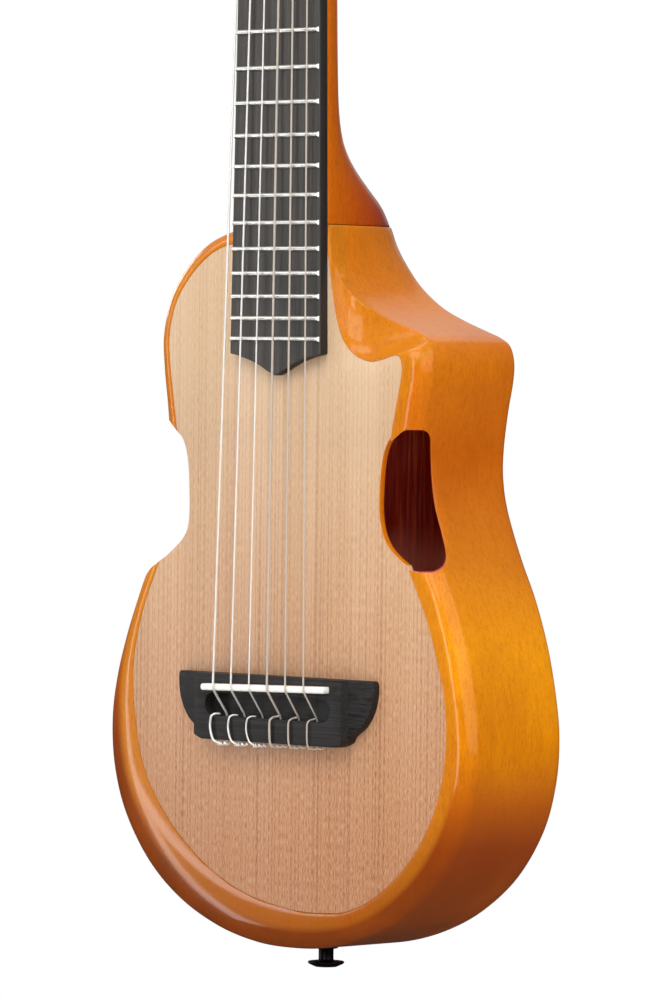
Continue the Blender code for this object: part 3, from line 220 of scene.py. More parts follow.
def add_node(tree, kind, inputs=None, stops=(), **settings):
    """Add a node with its settings and links.

    An input is a value, a socket, or a node whose first output is meant; stops are the places
    and hex colours of a colour ramp."""
    made = tree.nodes.new(kind)
    for name, value in settings.items():
        setattr(made, name, value)
    for name, value in (inputs or {}).items():
        if isinstance(value, bpy.types.Node):
            value = value.outputs[0]
        if isinstance(value, bpy.types.NodeSocket):
            tree.links.new(value, made.inputs[name])
        else:
            made.inputs[name].default_value = value
    for number, (place, colour) in enumerate(stops):
        elements = made.color_ramp.elements
        element = elements[number] if number < len(elements) else elements.new(place)
        element.position = place
        element.color = linear(colour)
    return made


def new_finish(name, **sockets):
    """A material with its shader's plain values set, its node tree and its shader."""
    finish = bpy.data.materials.new(name)
    finish.use_nodes = True
    shader = finish.node_tree.nodes["Principled BSDF"]
    for socket, value in sockets.items():
        shader.inputs[socket.replace("_", " ")].default_value = value
    return finish, finish.node_tree, shader


def fibres(tree, width, length, detail=2.0, roughness=0.5, across=False):
    """Wood fibres of a width and length in metres, as noise from 0 to 1, along Z or else X."""
    scale = (1 / length, 1 / width, 1 / width) if across else (1 / width, 1 / width, 1 / length)
    where = add_node(tree, "ShaderNodeTexCoord")
    stretched = add_node(tree, "ShaderNodeMapping", {"Vector": where.outputs["Object"], "Scale": scale})
    return add_node(tree, "ShaderNodeTexNoise", {"Vector": stretched, "Scale": 1.0, "Detail": detail,
                                                 "Roughness": roughness})


def lacquered_mahogany(name, spray_way, spray, rubbed, cloud, fleck_and_shade, pore):
    """Mahogany rubbed with stain and lacquered to a gloss. The sprayed stain changes along a way,
    at places in metres along it. The bass side is darker, partly a browner stain and partly painted
    shade, and so is the tail, partly the stain's burst and partly painted shade. Along the front edge
    and in the scoop the stain is rubbed to one tone, which on the darkened bass rim is partly a
    painted highlight line. It takes unevenly in clouds a few centimetres wide and in flecks along
    the grain, and open pores 0.4 mm wide stay dark. The stained wood's own sheen is golden under
    the clear coat's."""
    finish, tree, shader = new_finish(name, Roughness=0.34, Specular_IOR_Level=0.2,
                                      Specular_Tint=linear("#FFC468"), Coat_Weight=0.38,
                                      Coat_Roughness=0.10, Coat_IOR=1.5)
    where = add_node(tree, "ShaderNodeTexCoord")
    along = add_node(tree, "ShaderNodeVectorMath", {0: where.outputs["Object"], 1: spray_way},
                     operation="DOT_PRODUCT")
    base = add_node(tree, "ShaderNodeValToRGB", {"Fac": along.outputs["Value"]}, spray)
    place = add_node(tree, "ShaderNodeSeparateXYZ", {"Vector": where.outputs["Object"]})
    scoop = add_node(tree, "ShaderNodeMapRange", {"Value": place.outputs["Z"], "From Min": -292 * mm,
                                                  "From Max": -284 * mm, "To Max": 10 * mm})
    edge = add_node(tree, "ShaderNodeMath", {0: place.outputs["Y"], 1: scoop}, operation="SUBTRACT")
    for value, lowest, highest, least, most, colour in (
            # Painted shade in part: the bass side's outer rim darker, partly a browner stain
            (place.outputs["X"], -70 * mm, -98 * mm, 0, 0.5, fleck_and_shade),
            # Rubbed tone along the front edge and in the scoop; on the darkened bass rim partly a painted
            # highlight line
            (edge, 0.6 * mm, 1.6 * mm, 0.75, 0, rubbed),
            # Painted shade in part: darker towards the tail, partly the stain's burst
            (place.outputs["Z"], -480 * mm, -525 * mm, 0, 0.6, fleck_and_shade),
            (fibres(tree, 34 * mm, 60 * mm, detail=3.0), 0.46, 0.72, 0, 0.34, cloud),
            (fibres(tree, 1.8 * mm, 8 * mm, detail=4.0, roughness=0.6), 0.46, 0.72, 0, 0.26, fleck_and_shade),
            (fibres(tree, 0.4 * mm, 3 * mm, detail=3.0, roughness=0.65), 0.50, 0.74, 0, 0.4, pore)):
        share = add_node(tree, "ShaderNodeMapRange", {"Value": value, "From Min": lowest,
                                                      "From Max": highest, "To Min": least, "To Max": most})
        base = add_node(tree, "ShaderNodeMix", {0: share, 6: base, 7: linear(colour)},
                        data_type="RGBA").outputs[2]
    tree.links.new(base, shader.inputs["Base Color"])
    return finish


def port_mahogany():
    """The ports' and chamber's walls, which drank the stain: red, satin and streaked along Z. The
    ports' lower ends are paler: a painted highlight for the light that falls in through the ports."""
    finish, tree, shader = new_finish("stained_mahogany_port_walls", Roughness=0.6, Specular_IOR_Level=0.05)
    streaks = fibres(tree, 1.8 * mm, 45 * mm, detail=3.0, roughness=0.6)
    base = add_node(tree, "ShaderNodeValToRGB", {"Fac": streaks},
                    [(0.36, "#A81808"), (0.52, "#D03C18"), (0.68, "#F07844")])
    where = add_node(tree, "ShaderNodeTexCoord")
    place = add_node(tree, "ShaderNodeSeparateXYZ", {"Vector": where.outputs["Object"]})
    # Painted highlight: the ports' lower ends paler, for light falling in through the ports
    share = add_node(tree, "ShaderNodeMapRange", {"Value": place.outputs["Z"], "From Min": -362 * mm,
                                                  "From Max": -377 * mm, "To Max": 0.75})
    base = add_node(tree, "ShaderNodeMix", {0: share, 6: base, 7: linear("#F08C74")},
                    data_type="RGBA").outputs[2]
    tree.links.new(base, shader.inputs["Base Color"])
    return finish


def satin_cedar():
    """Quarter-sawn cedar under thin satin lacquer: late-wood lines about 2.4 mm apart, near to
    straight, that come and go, over fibres 0.4 mm wide. The lines and the wood's red grow towards
    the tail; the paler upper part is partly the wood and partly a painted sheen."""
    finish, tree, shader = new_finish("quartersawn_cedar_satin", Roughness=0.44, Specular_IOR_Level=0.4)
    broad = fibres(tree, 26 * mm, 420 * mm)
    base = add_node(tree, "ShaderNodeValToRGB", {"Fac": broad},
                    [(0.34, "#C4A17C"), (0.50, "#CCAB88"), (0.66, "#D4B594")])
    where = add_node(tree, "ShaderNodeTexCoord")
    place = add_node(tree, "ShaderNodeSeparateXYZ", {"Vector": where.outputs["Object"]})
    # Painted sheen in part: the upper soundboard paler, darker and redder towards the tail
    tailward = add_node(tree, "ShaderNodeMapRange", {"Value": place.outputs["Z"], "From Min": -290 * mm,
                                                     "From Max": -510 * mm, "To Min": 0.0, "To Max": 0.85})
    base = add_node(tree, "ShaderNodeMix", {0: tailward, 6: base, 7: linear("#A85F28")},
                    data_type="RGBA").outputs[2]
    stretched = add_node(tree, "ShaderNodeMapping", {"Vector": where.outputs["Object"],
                                                     "Scale": (1, 1, 0.003)})
    rings = add_node(tree, "ShaderNodeTexWave", {"Vector": stretched, "Scale": math.pi / (10 * 2.4 * mm),
                                                 "Distortion": 7.0, "Detail": 3.0, "Detail Scale": 2.0})
    lines = add_node(tree, "ShaderNodeMapRange", {"Value": rings, "From Min": 0.50, "From Max": 1.0})
    patchy = add_node(tree, "ShaderNodeMapRange", {"Value": fibres(tree, 7 * mm, 300 * mm), "From Min": 0.35,
                                                   "From Max": 0.65, "To Min": 0.30, "To Max": 1.0})
    share = add_node(tree, "ShaderNodeMath", {0: lines, 1: patchy}, operation="MULTIPLY")
    stronger = add_node(tree, "ShaderNodeMath", {0: tailward, 1: 0.22}, operation="ADD")
    share = add_node(tree, "ShaderNodeMath", {0: share, 1: stronger}, operation="MULTIPLY")
    base = add_node(tree, "ShaderNodeMix", {0: share, 6: base, 7: linear("#96552C")},
                    data_type="RGBA").outputs[2]
    fine = fibres(tree, 0.4 * mm, 3 * mm, detail=2.0, roughness=0.6)
    share = add_node(tree, "ShaderNodeMapRange", {"Value": fine, "From Min": 0.40, "From Max": 0.62,
                                                  "To Max": 0.30})
    base = add_node(tree, "ShaderNodeMix", {0: share, 6: base, 7: linear("#E9CFAE")},
                    data_type="RGBA").outputs[2]
    tree.links.new(base, shader.inputs["Base Color"])
    relief = add_node(tree, "ShaderNodeBump", {"Height": fine, "Strength": 0.14, "Distance": 0.1 * mm})
    tree.links.new(relief.outputs[0], shader.inputs["Normal"])
    return finish


def dyed_wood(name, dark, light, width, length, across, gloss=0.45, smoothest=0.42, face=None):
    """Close-grained hardwood dyed black and oiled: grey streaks along the grain and a low sheen
    that varies with them. Behind a face at a place along Y, the edges are blacker."""
    finish, tree, shader = new_finish(name, Specular_IOR_Level=gloss)
    streaks = fibres(tree, width, length, detail=4.0, roughness=0.65, across=across)
    base = add_node(tree, "ShaderNodeValToRGB", {"Fac": streaks}, [(0.36, dark), (0.66, light)]).outputs[0]
    if face is not None:
        where = add_node(tree, "ShaderNodeTexCoord")
        place = add_node(tree, "ShaderNodeSeparateXYZ", {"Vector": where.outputs["Object"]})
        share = add_node(tree, "ShaderNodeMapRange", {"Value": place.outputs["Y"], "From Min": face,
                                                      "From Max": face + 0.7 * mm, "To Max": 0.85})
        base = add_node(tree, "ShaderNodeMix", {0: share, 6: base, 7: linear("#120B08")},
                        data_type="RGBA").outputs[2]
    tree.links.new(base, shader.inputs["Base Color"])
    sheen = add_node(tree, "ShaderNodeMapRange", {"Value": streaks, "From Min": 0.3, "From Max": 0.7,
                                                  "To Min": smoothest, "To Max": smoothest + 0.16})
    tree.links.new(sheen.outputs[0], shader.inputs["Roughness"])
    relief = add_node(tree, "ShaderNodeBump", {"Height": streaks, "Strength": 0.2, "Distance": 0.08 * mm})
    tree.links.new(relief.outputs[0], shader.inputs["Normal"])
    return finish


def worked_surface(name, colour, smoothest, dullest, wear, **sockets):
    """A plain hard material: even colour, its gloss varying with handling over a few millimetres."""
    finish, tree, shader = new_finish(name, Base_Color=linear(colour), **sockets)
    where = add_node(tree, "ShaderNodeTexCoord")
    handling = add_node(tree, "ShaderNodeTexNoise", {"Vector": where.outputs["Object"],
                                                     "Scale": 1 / wear, "Detail": 3.0})
    gloss = add_node(tree, "ShaderNodeMapRange", {"Value": handling, "From Min": 0.3, "From Max": 0.7,
                                                  "To Min": smoothest, "To Max": dullest})
    tree.links.new(gloss.outputs[0], shader.inputs["Roughness"])
    return finish


def wound_wire():
    """Silver-plated wire wound on a floss core: bright, with a ring at every turn. The real
    turns are 0.2 mm apart, finer than the render shows, so they are drawn 0.9 mm apart."""
    finish, tree, shader = new_finish("silvered_wire_wound", Base_Color=linear("#F4F1EA"), Metallic=0.55,
                                      Roughness=0.36, Coat_Weight=0.3, Coat_Roughness=0.2)
    where = add_node(tree, "ShaderNodeTexCoord")
    turns = add_node(tree, "ShaderNodeTexWave", {"Vector": where.outputs["Object"],
                                                 "Scale": math.pi / (10 * 0.9 * mm)}, bands_direction="Z")
    relief = add_node(tree, "ShaderNodeBump", {"Height": turns, "Strength": 0.2, "Distance": 0.1 * mm})
    tree.links.new(relief.outputs[0], shader.inputs["Normal"])
    return finish


# The ramp darkens towards the tail, partly the stain's burst and partly painted shade; the flecks' colour
# also paints the shade of the bass side and tail
AMBER = lacquered_mahogany("amber_stained_mahogany_lacquered", (-0.2, 0, -1),
                           [(0.262, "#D87A12"), (0.315, "#C6620E"), (0.36, "#D47A0C"), (0.395, "#EA9406"),
                            (0.435, "#DC8406"), (0.460, "#B45808"), (0.482, "#84300A"), (0.53, "#4E180A")],
                           "#CC7C18", "#B0500A", "#94440A", "#6E3008")
RED = lacquered_mahogany("red_stained_mahogany_lacquered", (0, 10, 0),
                         [(0.02, "#D07208"), (0.12, "#C05A06"), (0.30, "#B44404"), (0.52, "#7A1A04")],
                         "#C05C08", "#A03C06", "#8A2E06", "#5A1E06")
PORT = port_mahogany()
CEDAR = satin_cedar()
BOARD = dyed_wood("hardwood_dyed_black_fretboard", "#322F2D", "#4E4A47", 0.5 * mm, 40 * mm, False,
                  gloss=0.4, smoothest=0.44, face=-5.0 * mm)
EBONY = dyed_wood("hardwood_dyed_black_bridge", "#0D0C0C", "#2E2B2A", 0.9 * mm, 40 * mm, True,
                  gloss=0.32, smoothest=0.48)
BONE = worked_surface("bone_polished", "#F3EFE6", 0.22, 0.36, 3 * mm)
FRET = worked_surface("nickel_silver_drawn", "#ECEAE4", 0.27, 0.34, 2 * mm, Metallic=1.0)
WOUND = wound_wire()
NYLON = worked_surface("nylon_drawn_clear", "#D2C6B8", 0.34, 0.40, 2.5 * mm, Transmission_Weight=0.3,
                       IOR=1.53)
NICKEL = worked_surface("steel_nickel_plated", "#C9C6BE", 0.18, 0.34, 4 * mm, Metallic=1.0)
BUTTON = worked_surface("plastic_turned_black", "#040404", 0.32, 0.46, 4 * mm, Specular_IOR_Level=0.15)
KNOB = worked_surface("plastic_moulded_black", "#101012", 0.14, 0.24, 5 * mm, Coat_Weight=0.6)
SPRUCE = dyed_wood("spruce_planed_bare", "#B98F5A", "#DDBB86", 1.5 * mm, 90 * mm, False)


# Ways of working

def only(piece):
    """Deselect everything else and make one piece active."""
    bpy.ops.object.select_all(action="DESELECT")
    piece.select_set(True)
    bpy.context.view_layer.objects.active = piece


def open_up(piece):
    """Into edit mode with everything selected."""
    only(piece)
    bpy.ops.object.mode_set(mode="EDIT")
    bpy.ops.mesh.select_all(action="SELECT")


def pick(piece, kind, wanted):
    """In edit mode, select only the vertices, edges or faces whose middle passes a test."""
    bpy.ops.mesh.select_all(action="DESELECT")
    bpy.ops.mesh.select_mode(type={"verts": "VERT", "edges": "EDGE", "faces": "FACE"}[kind])
    grid = bmesh.from_edit_mesh(piece.data)
    for part in getattr(grid, kind):
        if kind == "verts":
            middle = part.co
        else:
            middle = sum((corner.co for corner in part.verts), Vector()) / len(part.verts)
        if wanted(middle, part):
            part.select_set(True)
    bmesh.update_edit_mesh(piece.data)


def close_up():
    """Merge what meets, turn the faces outwards and leave edit mode."""
    bpy.ops.mesh.select_mode(type="VERT")
    bpy.ops.mesh.select_all(action="SELECT")
    bpy.ops.mesh.remove_doubles(threshold=0.002 * mm)
    bpy.ops.mesh.normals_make_consistent(inside=False)
    bpy.ops.object.mode_set(mode="OBJECT")


def on_bench(name, mesh, finish=None):
    """A piece at the origin from a mesh."""
    piece = bpy.data.objects.new(name, mesh)
    bpy.context.scene.collection.objects.link(piece)
    if finish:
        mesh.materials.clear()
        mesh.materials.append(finish)
    return piece


def settle(piece, name, finish=None, turn=None):
    """Name a new primitive, turn it into place and bake its place into its mesh."""
    piece.name = piece.data.name = name
    if turn:
        piece.matrix_world = turn @ piece.matrix_world
    only(piece)
    bpy.ops.object.transform_apply(location=True, rotation=True, scale=True)
    if finish:
        piece.data.materials.append(finish)
    return piece


def block(name, low, high, finish=None, turn=None):
    """A block added at its size and place."""
    bpy.ops.object.select_all(action="DESELECT")
    bpy.ops.mesh.primitive_cube_add(size=1, location=[(a + b) / 2 for a, b in zip(low, high)],
                                    scale=[abs(b - a) for a, b in zip(low, high)])
    bpy.context.view_layer.update()
    return settle(bpy.context.object, name, finish, turn)


def bar(name, start, end, radius, sides, finish=None, turn=None):
    """A round bar added between two points."""
    start, end = Vector(start), Vector(end)
    bpy.ops.object.select_all(action="DESELECT")
    bpy.ops.mesh.primitive_cylinder_add(vertices=sides, radius=radius, depth=(end - start).length,
                                        location=(start + end) / 2,
                                        rotation=(end - start).to_track_quat("Z", "Y").to_euler())
    bpy.context.view_layer.update()
    return settle(bpy.context.object, name, finish, turn)


def sawn(name, outline, near, far, finish=None, turn=None):
    """An X, Z outline drawn at depth near, filled and extruded to depth far."""
    mesh = bpy.data.meshes.new(name)
    count = len(outline)
    mesh.from_pydata([(x, near, z) for x, z in outline], [(i, (i + 1) % count) for i in range(count)], [])
    piece = on_bench(name, mesh, finish)
    open_up(piece)
    bpy.ops.mesh.edge_face_add()
    bpy.ops.mesh.extrude_region_move(TRANSFORM_OT_translate={"value": (0, far - near, 0)})
    close_up()
    if turn:
        mesh.transform(turn)
    return piece


def carved(name, rings, finish=None):
    """A skin through closed rings of equally many points, capped at both ends: for the rim, the
    neck and the slanted port cuts, whose section changes all the way."""
    bm = bmesh.new()
    loops = [[bm.verts.new(point) for point in ring] for ring in rings]
    count = len(rings[0])
    for ring, following in zip(loops, loops[1:]):
        for i in range(count):
            j = (i + 1) % count
            bm.faces.new((ring[i], ring[j], following[j], following[i]))
    bm.faces.new(loops[0])
    bm.faces.new(loops[-1])
    bmesh.ops.recalc_face_normals(bm, faces=bm.faces)
    mesh = bpy.data.meshes.new(name)
    bm.to_mesh(mesh)
    bm.free()
    return on_bench(name, mesh, finish)


def bent(name, points, radius, finish):
    """A round wire bent through points: a curve given thickness and made a mesh."""
    curve = bpy.data.curves.new(name, "CURVE")
    curve.dimensions = "3D"
    curve.bevel_depth = radius
    curve.bevel_resolution = 3
    curve.use_fill_caps = True
    spline = curve.splines.new("POLY")
    spline.points.add(len(points) - 1)
    for target, point in zip(spline.points, points):
        target.co = (*point, 1)
    wire = on_bench(name, curve)
    only(wire)
    bpy.ops.object.convert(target="MESH")
    wire = bpy.context.object
    wire.data.materials.clear()
    wire.data.materials.append(finish)
    open_up(wire)
    close_up()
    return wire


def turned(name, profile, steps, middle, finish):
    """A closed profile of radius and height, both in mm, spun about an upright axis."""
    mesh = bpy.data.meshes.new(name)
    count = len(profile)
    mesh.from_pydata([(middle[0] + radius * mm, middle[1], middle[2] + height * mm)
                      for radius, height in profile], [(i, (i + 1) % count) for i in range(count)], [])
    piece = on_bench(name, mesh, finish)
    open_up(piece)
    bpy.ops.mesh.spin(steps=steps, angle=2 * math.pi, center=middle, axis=(0, 0, 1))
    close_up()
    return piece


def combine(piece, tool, operation="DIFFERENCE"):
    """Cut or join a piece with another, which is used up; the cut keeps the tool's finish."""
    modifier = piece.modifiers.new("cut", "BOOLEAN")
    modifier.operation = operation
    modifier.solver = "EXACT"
    modifier.material_mode = "TRANSFER"
    modifier.object = tool
    only(piece)
    bpy.ops.object.modifier_apply(modifier=modifier.name)
    bpy.data.objects.remove(tool)


def gathered(pieces):
    """Join pieces into the first."""
    only(pieces[0])
    for piece in pieces[1:]:
        piece.select_set(True)
    bpy.ops.object.join()
    return pieces[0]


def smooth(piece, angle=35):
    only(piece)
    bpy.ops.object.shade_smooth_by_angle(angle=math.radians(angle))


def soften(piece, width, segments=2, angle=40):
    """Break the sharp edges and shade the rest smooth."""
    modifier = piece.modifiers.new("broken_edges", "BEVEL")
    modifier.width = width
    modifier.segments = segments
    modifier.limit_method = "ANGLE"
    modifier.angle_limit = math.radians(angle)
    modifier.miter_outer = "MITER_ARC"
    only(piece)
    bpy.ops.object.modifier_apply(modifier=modifier.name)
    smooth(piece)


def copied(piece, name, turn):
    """A copy with its own mesh, moved into place."""
    mesh = piece.data.copy()
    mesh.transform(turn)
    return on_bench(name, mesh)


def from_model(node, name, finish, width=0.0):
    """A copy of a node's mesh with its loose triangles merged and its edges broken."""
    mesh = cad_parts[node].data.copy()
    piece = on_bench(name, mesh, finish)
    open_up(piece)
    bpy.ops.mesh.remove_doubles(threshold=0.002 * mm)
    bpy.ops.mesh.dissolve_limited(angle_limit=math.radians(1))
    bpy.ops.object.mode_set(mode="OBJECT")
    if width:
        soften(piece, width)
    else:
        smooth(piece)
    return piece


def hand_over(piece, slot, body, *nodes):
    """Put a finished piece on its body in place of the model's nodes."""
    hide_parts(*nodes)
    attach(piece, body)


def spline_through(rows, steps):
    """Catmull-Rom samples through rows of numbers; the ends are kept."""
    samples = []
    for i in range(len(rows) - 1):
        before = rows[max(i - 1, 0)]
        start, end = rows[i], rows[i + 1]
        after = rows[min(i + 2, len(rows) - 1)]
        for k in range(steps):
            t = k / steps
            samples.append(tuple(
                0.5 * (2 * b + (c - a) * t + (2 * a - 5 * b + 4 * c - d) * t * t
                       + (3 * b - a - 3 * c + d) * t ** 3)
                for a, b, c, d in zip(before, start, end, after)))
    samples.append(tuple(rows[-1]))
    return samples


def spaced(points, least):
    """Points no closer than a least distance."""
    kept = []
    for point in points:
        if not kept or math.dist(point, kept[-1]) > least:
            kept.append(point)
    if math.dist(kept[0], kept[-1]) <= least:
        kept.pop()
    return kept


# Body and soundboard

def rim_samples(steps):
    samples = [(x * mm, z * mm, sx * mm, sz * mm, depth * mm, bulge, lean * mm)
               for x, z, sx, sz, depth, bulge, lean in spline_through(RIM_SECTIONS, steps)]
    edge_depth = RIM_SECTIONS[-1][4] * mm
    for x, lean in zip(JOINT_FACE_X, JOINT_FACE_LEAN):
        samples.append((x, JOINT_Z, x, JOINT_FACE_EDGE, edge_depth, 1.0, lean))
    return samples


def inward(sample):
    x, z, sx, sz = sample[:4]
    length = math.hypot(sx - x, sz - z)
    return (sx - x) / length, (sz - z) / length


def soundboard_edge(offset, steps=6):
    points = []
    for sample in rim_samples(steps):
        dx, dz = inward(sample)
        points.append((sample[2] + dx * offset, sample[3] + dz * offset))
    return spaced(points, 0.4 * mm)


def edge_point(sample, angle):
    """A point of the shaped front edge, from the soundboard (0) to the side (90 degrees)."""
    x, z, sx, sz, depth, bulge, _ = sample
    across = 1 - math.sin(angle)
    down = 1 - math.cos(angle)
    round_share = (1 + bulge) / 2
    across = round_share * across + (1 - round_share) * math.cos(angle)
    down = round_share * down + (1 - round_share) * math.sin(angle)
    return x + (sx - x) * across, depth * down, z + (sz - z) * across


def leaned(sample, y):
    share = min(y / BODY_DEPTH, 1)
    return sample[0] - sample[6] * (1 - math.sqrt(1 - share * share))


def body_outside():
    samples = rim_samples(9)
    rings = [[edge_point(s, math.radians(90 * k / 16)) for s in samples] for k in range(17)]
    for y in (14, 20, 28, 36, 44, 50, 55):
        rings.append([(leaned(s, y * mm), y * mm, s[1]) for s in samples])
    for k in range(6):
        angle = math.radians(18 * k)
        step_in = BACK_RADIUS * (1 - math.cos(angle))
        y = BODY_DEPTH - BACK_RADIUS * (1 - math.sin(angle))
        ring = []
        for sample in samples:
            dx, dz = inward(sample)
            ring.append((leaned(sample, y) + dx * step_in, y, sample[1] + dz * step_in))
        rings.append(ring)
    return carved("body_mahogany", rings, AMBER)


def port_window(side):
    """The opening through the rim: open to the front, with a slanted floor into the chamber."""
    front = -3 * mm
    rings = []
    for z, near, far in spline_through(PORT_WINDOW, 5):
        near, far, z = near * mm, far * mm, z * mm
        rings.append([(side * max(PORT_INNER_X, near - front), front, z),
                      (side * PORT_INNER_X, near - PORT_INNER_X, z),
                      (side * PORT_INNER_X, far - PORT_INNER_X, z),
                      (side * (far - front), front, z)])
    return carved("port_window", rings, PORT)


def port_sweep():
    """The bass notch carried on through the side, slanting out towards the back."""
    front = -3 * mm
    far_x = -BODY_DEPTH * 2
    rings = []
    for x, z in spline_through(BASS_NOTCH, 6):
        x, z = -x * mm, z * mm
        rings.append([(x - front, front, z), (x - SWEEP_DEPTH, SWEEP_DEPTH, z),
                      (far_x, SWEEP_DEPTH, z), (far_x, front, z)])
    return carved("port_sweep", rings, AMBER)


def port_notch(side):
    rows = PORT_NOTCH if side > 0 else BASS_NOTCH
    outline = [(side * x * mm, z * mm) for x, z in spline_through(rows, 6)]
    far_x = side * 100 * mm
    outline += [(far_x, outline[-1][1]), (far_x, outline[0][1])]
    return sawn("port_notch", outline, -2 * mm, SOUNDBOARD_THICKNESS + 2 * mm, AMBER)


def make_body():
    body = body_outside()
    combine(body, sawn("recess", soundboard_edge(LIP_WIDTH), -2 * mm, SOUNDBOARD_THICKNESS + GAP, AMBER))
    top = JOINT_Z - NECK_BLOCK_LENGTH
    chamber = [(x, min(z, top)) for x, z in soundboard_edge(LIP_WIDTH + LEDGE_WIDTH)]
    combine(body, sawn("chamber", spaced(chamber, 0.8 * mm), 1 * mm, BODY_DEPTH - BACK_THICKNESS, PORT))
    for side in (1, -1):
        combine(body, port_window(side))
    combine(body, port_sweep())
    soften(body, 0.4 * mm, 2, 50)
    hand_over(body, "stained_mahogany", INSTRUMENT, "body")


def make_soundboard():
    board = sawn("soundboard_cedar", soundboard_edge(LIP_WIDTH + GAP), 0, SOUNDBOARD_THICKNESS, CEDAR)
    for side in (1, -1):
        combine(board, port_notch(side))
    soften(board, 0.2 * mm, 2, 50)
    hand_over(board, "cedar_top", INSTRUMENT, "soundboard")


# Neck, headstock and fretboard

def fret_z(number):
    """Height of a fret below the nut, by equal temperament."""
    return -SCALE_LENGTH * (1 - 2 ** (-number / 12))


def board_half_width(z):
    slope = (LAST_FRET_WIDTH - NUT_WIDTH) / fret_z(FRET_COUNT)
    return (NUT_WIDTH + slope * min(z, 0)) / 2


def neck_ring(z, depth, power, points=36):
    """A D section: flat face forward, superellipse behind."""
    half = board_half_width(z)
    ring = []
    for i in range(points + 1):
        angle = math.pi * i / points
        across = math.copysign(abs(math.cos(angle)) ** (2 / power), math.cos(angle))
        ring.append((-half * across, depth * math.sin(angle) ** (2 / power), z))
    return ring


def slot_outline(side):
    """A string slot with round ends."""
    radius = (SLOT_OUTER - SLOT_INNER) / 2
    middle = side * (SLOT_OUTER + SLOT_INNER) / 2
    points = []
    for centre, start in ((SLOT_BOTTOM + radius, math.pi), (SLOT_TOP - radius, 0)):
        for i in range(17):
            angle = start + math.pi * i / 16
            points.append((middle + radius * math.cos(angle), centre + radius * math.sin(angle)))
    return points


def make_neck():
    """Neck and headstock: one carved stick, slotted and bored for the rollers."""
    rings = [neck_ring(z * mm, depth * mm, power) for z, depth, power in spline_through(NECK_SECTIONS, 5)]
    neck = carved("neck_mahogany", rings, RED)
    half = [(x * mm, z * mm) for x, z in spline_through(HEAD_OUTLINE, 4)]
    outline = half + [(-x, z) for x, z in reversed(half[:-1])]
    combine(neck, sawn("headstock", outline, 0, HEAD_THICKNESS, RED, HEAD), "UNION")
    for side in (1, -1):
        combine(neck, sawn("string_slot", slot_outline(side), -3 * mm, HEAD_THICKNESS + 3 * mm, RED, HEAD))
        for height in ROLLER_HEIGHTS:
            combine(neck, bar("roller_bore", (side * (SLOT_INNER - JOURNAL_LENGTH), ROLLER_DEPTH, height),
                              (side * 40 * mm, ROLLER_DEPTH, height), JOURNAL_RADIUS + RUNNING_GAP, 24,
                              RED, HEAD))
    soften(neck, 0.35 * mm, 2, 45)
    hand_over(neck, "stained_mahogany", INSTRUMENT, "neck")


def make_fretboard():
    end = fret_z(FRET_COUNT) - BOARD_OVERRUN
    wide = board_half_width(end)
    point = [(wide, end), (wide * 0.82, end - BOARD_POINT * 0.10), (wide * 0.64, end - BOARD_POINT * 0.24),
             (wide * 0.46, end - BOARD_POINT * 0.40), (wide * 0.30, end - BOARD_POINT * 0.60),
             (wide * 0.14, end - BOARD_POINT * 0.84), (0, end - BOARD_POINT)]
    half = [(board_half_width(0), 0)] + point
    outline = half + [(-x, z) for x, z in reversed(half[:-1])]
    board = sawn("fretboard_black", outline, -BOARD_THICKNESS, -GAP, BOARD)
    soften(board, 0.35 * mm, 3, 50)
    hand_over(board, "fretboard_black", INSTRUMENT, "fretboard")


def make_frets():
    """Half-round wire: a bar halved along its length, its ends filed to a slope, and the rest
    copied from the first and drawn out to the board's width."""
    seat = -BOARD_THICKNESS - 0.02 * mm
    first = fret_z(1)
    first_half = board_half_width(first) - FRET_INSET
    wire = bar("fret_wire_01", (-first_half, seat, first), (first_half, seat, first), FRET_HEIGHT, 24, FRET)
    open_up(wire)
    bpy.ops.mesh.bisect(plane_co=(0, seat, 0), plane_no=(0, 1, 0), use_fill=True, clear_outer=True)
    slope = math.radians(32)
    for side in (1, -1):
        bpy.ops.mesh.select_all(action="SELECT")
        bpy.ops.mesh.bisect(plane_co=(side * first_half, seat, 0),
                            plane_no=(side * math.cos(slope), -math.sin(slope), 0),
                            use_fill=True, clear_outer=True)
    close_up()
    smooth(wire, 40)
    for number in range(2, FRET_COUNT + 1):
        z = fret_z(number)
        name = "fret_wire_%02d" % number
        twin = copied(wire, name, Matrix.Translation((0, 0, z - first)))
        longer = board_half_width(z) - FRET_INSET - first_half
        for corner in twin.data.vertices:
            corner.co.x += math.copysign(longer, corner.co.x)
        hand_over(twin, "fret_wire", INSTRUMENT, "fret_%02d" % number)
    hand_over(wire, "fret_wire", INSTRUMENT, "fret_01")


def string_x(index, spread):
    """Side position of string 0 (sixth, bass) to 5 (first, treble)."""
    return spread * (index / 5 - 0.5)


def make_nut():
    top = -(BOARD_THICKNESS + NUT_STRING_HEIGHT + 0.7 * mm)
    half = board_half_width(0)
    nut = block("nut_bone", (-half, top, GAP), (half, -GAP, NUT_THICKNESS), BONE)
    open_up(nut)
    pick(nut, "edges", lambda middle, edge: middle.y < top + 0.1 * mm)
    bpy.ops.mesh.bevel(offset=1.1 * mm, segments=4)
    close_up()
    for index, diameter in enumerate(STRING_DIAMETERS):
        x = string_x(index, NUT_SPREAD)
        y = -(BOARD_THICKNESS + NUT_STRING_HEIGHT)
        radius = diameter / 2 + 0.05 * mm
        combine(nut, bar("string_notch", (x, y, -2 * mm), (x, y, NUT_THICKNESS + 2 * mm), radius, 16, BONE))
        combine(nut, block("string_way", (x - radius, y - 3 * mm, -2 * mm), (x + radius, y, 8 * mm), BONE))
    soften(nut, 0.12 * mm, 1, 50)
    hand_over(nut, "bone", INSTRUMENT, "nut")


# Bridge, saddle and strings

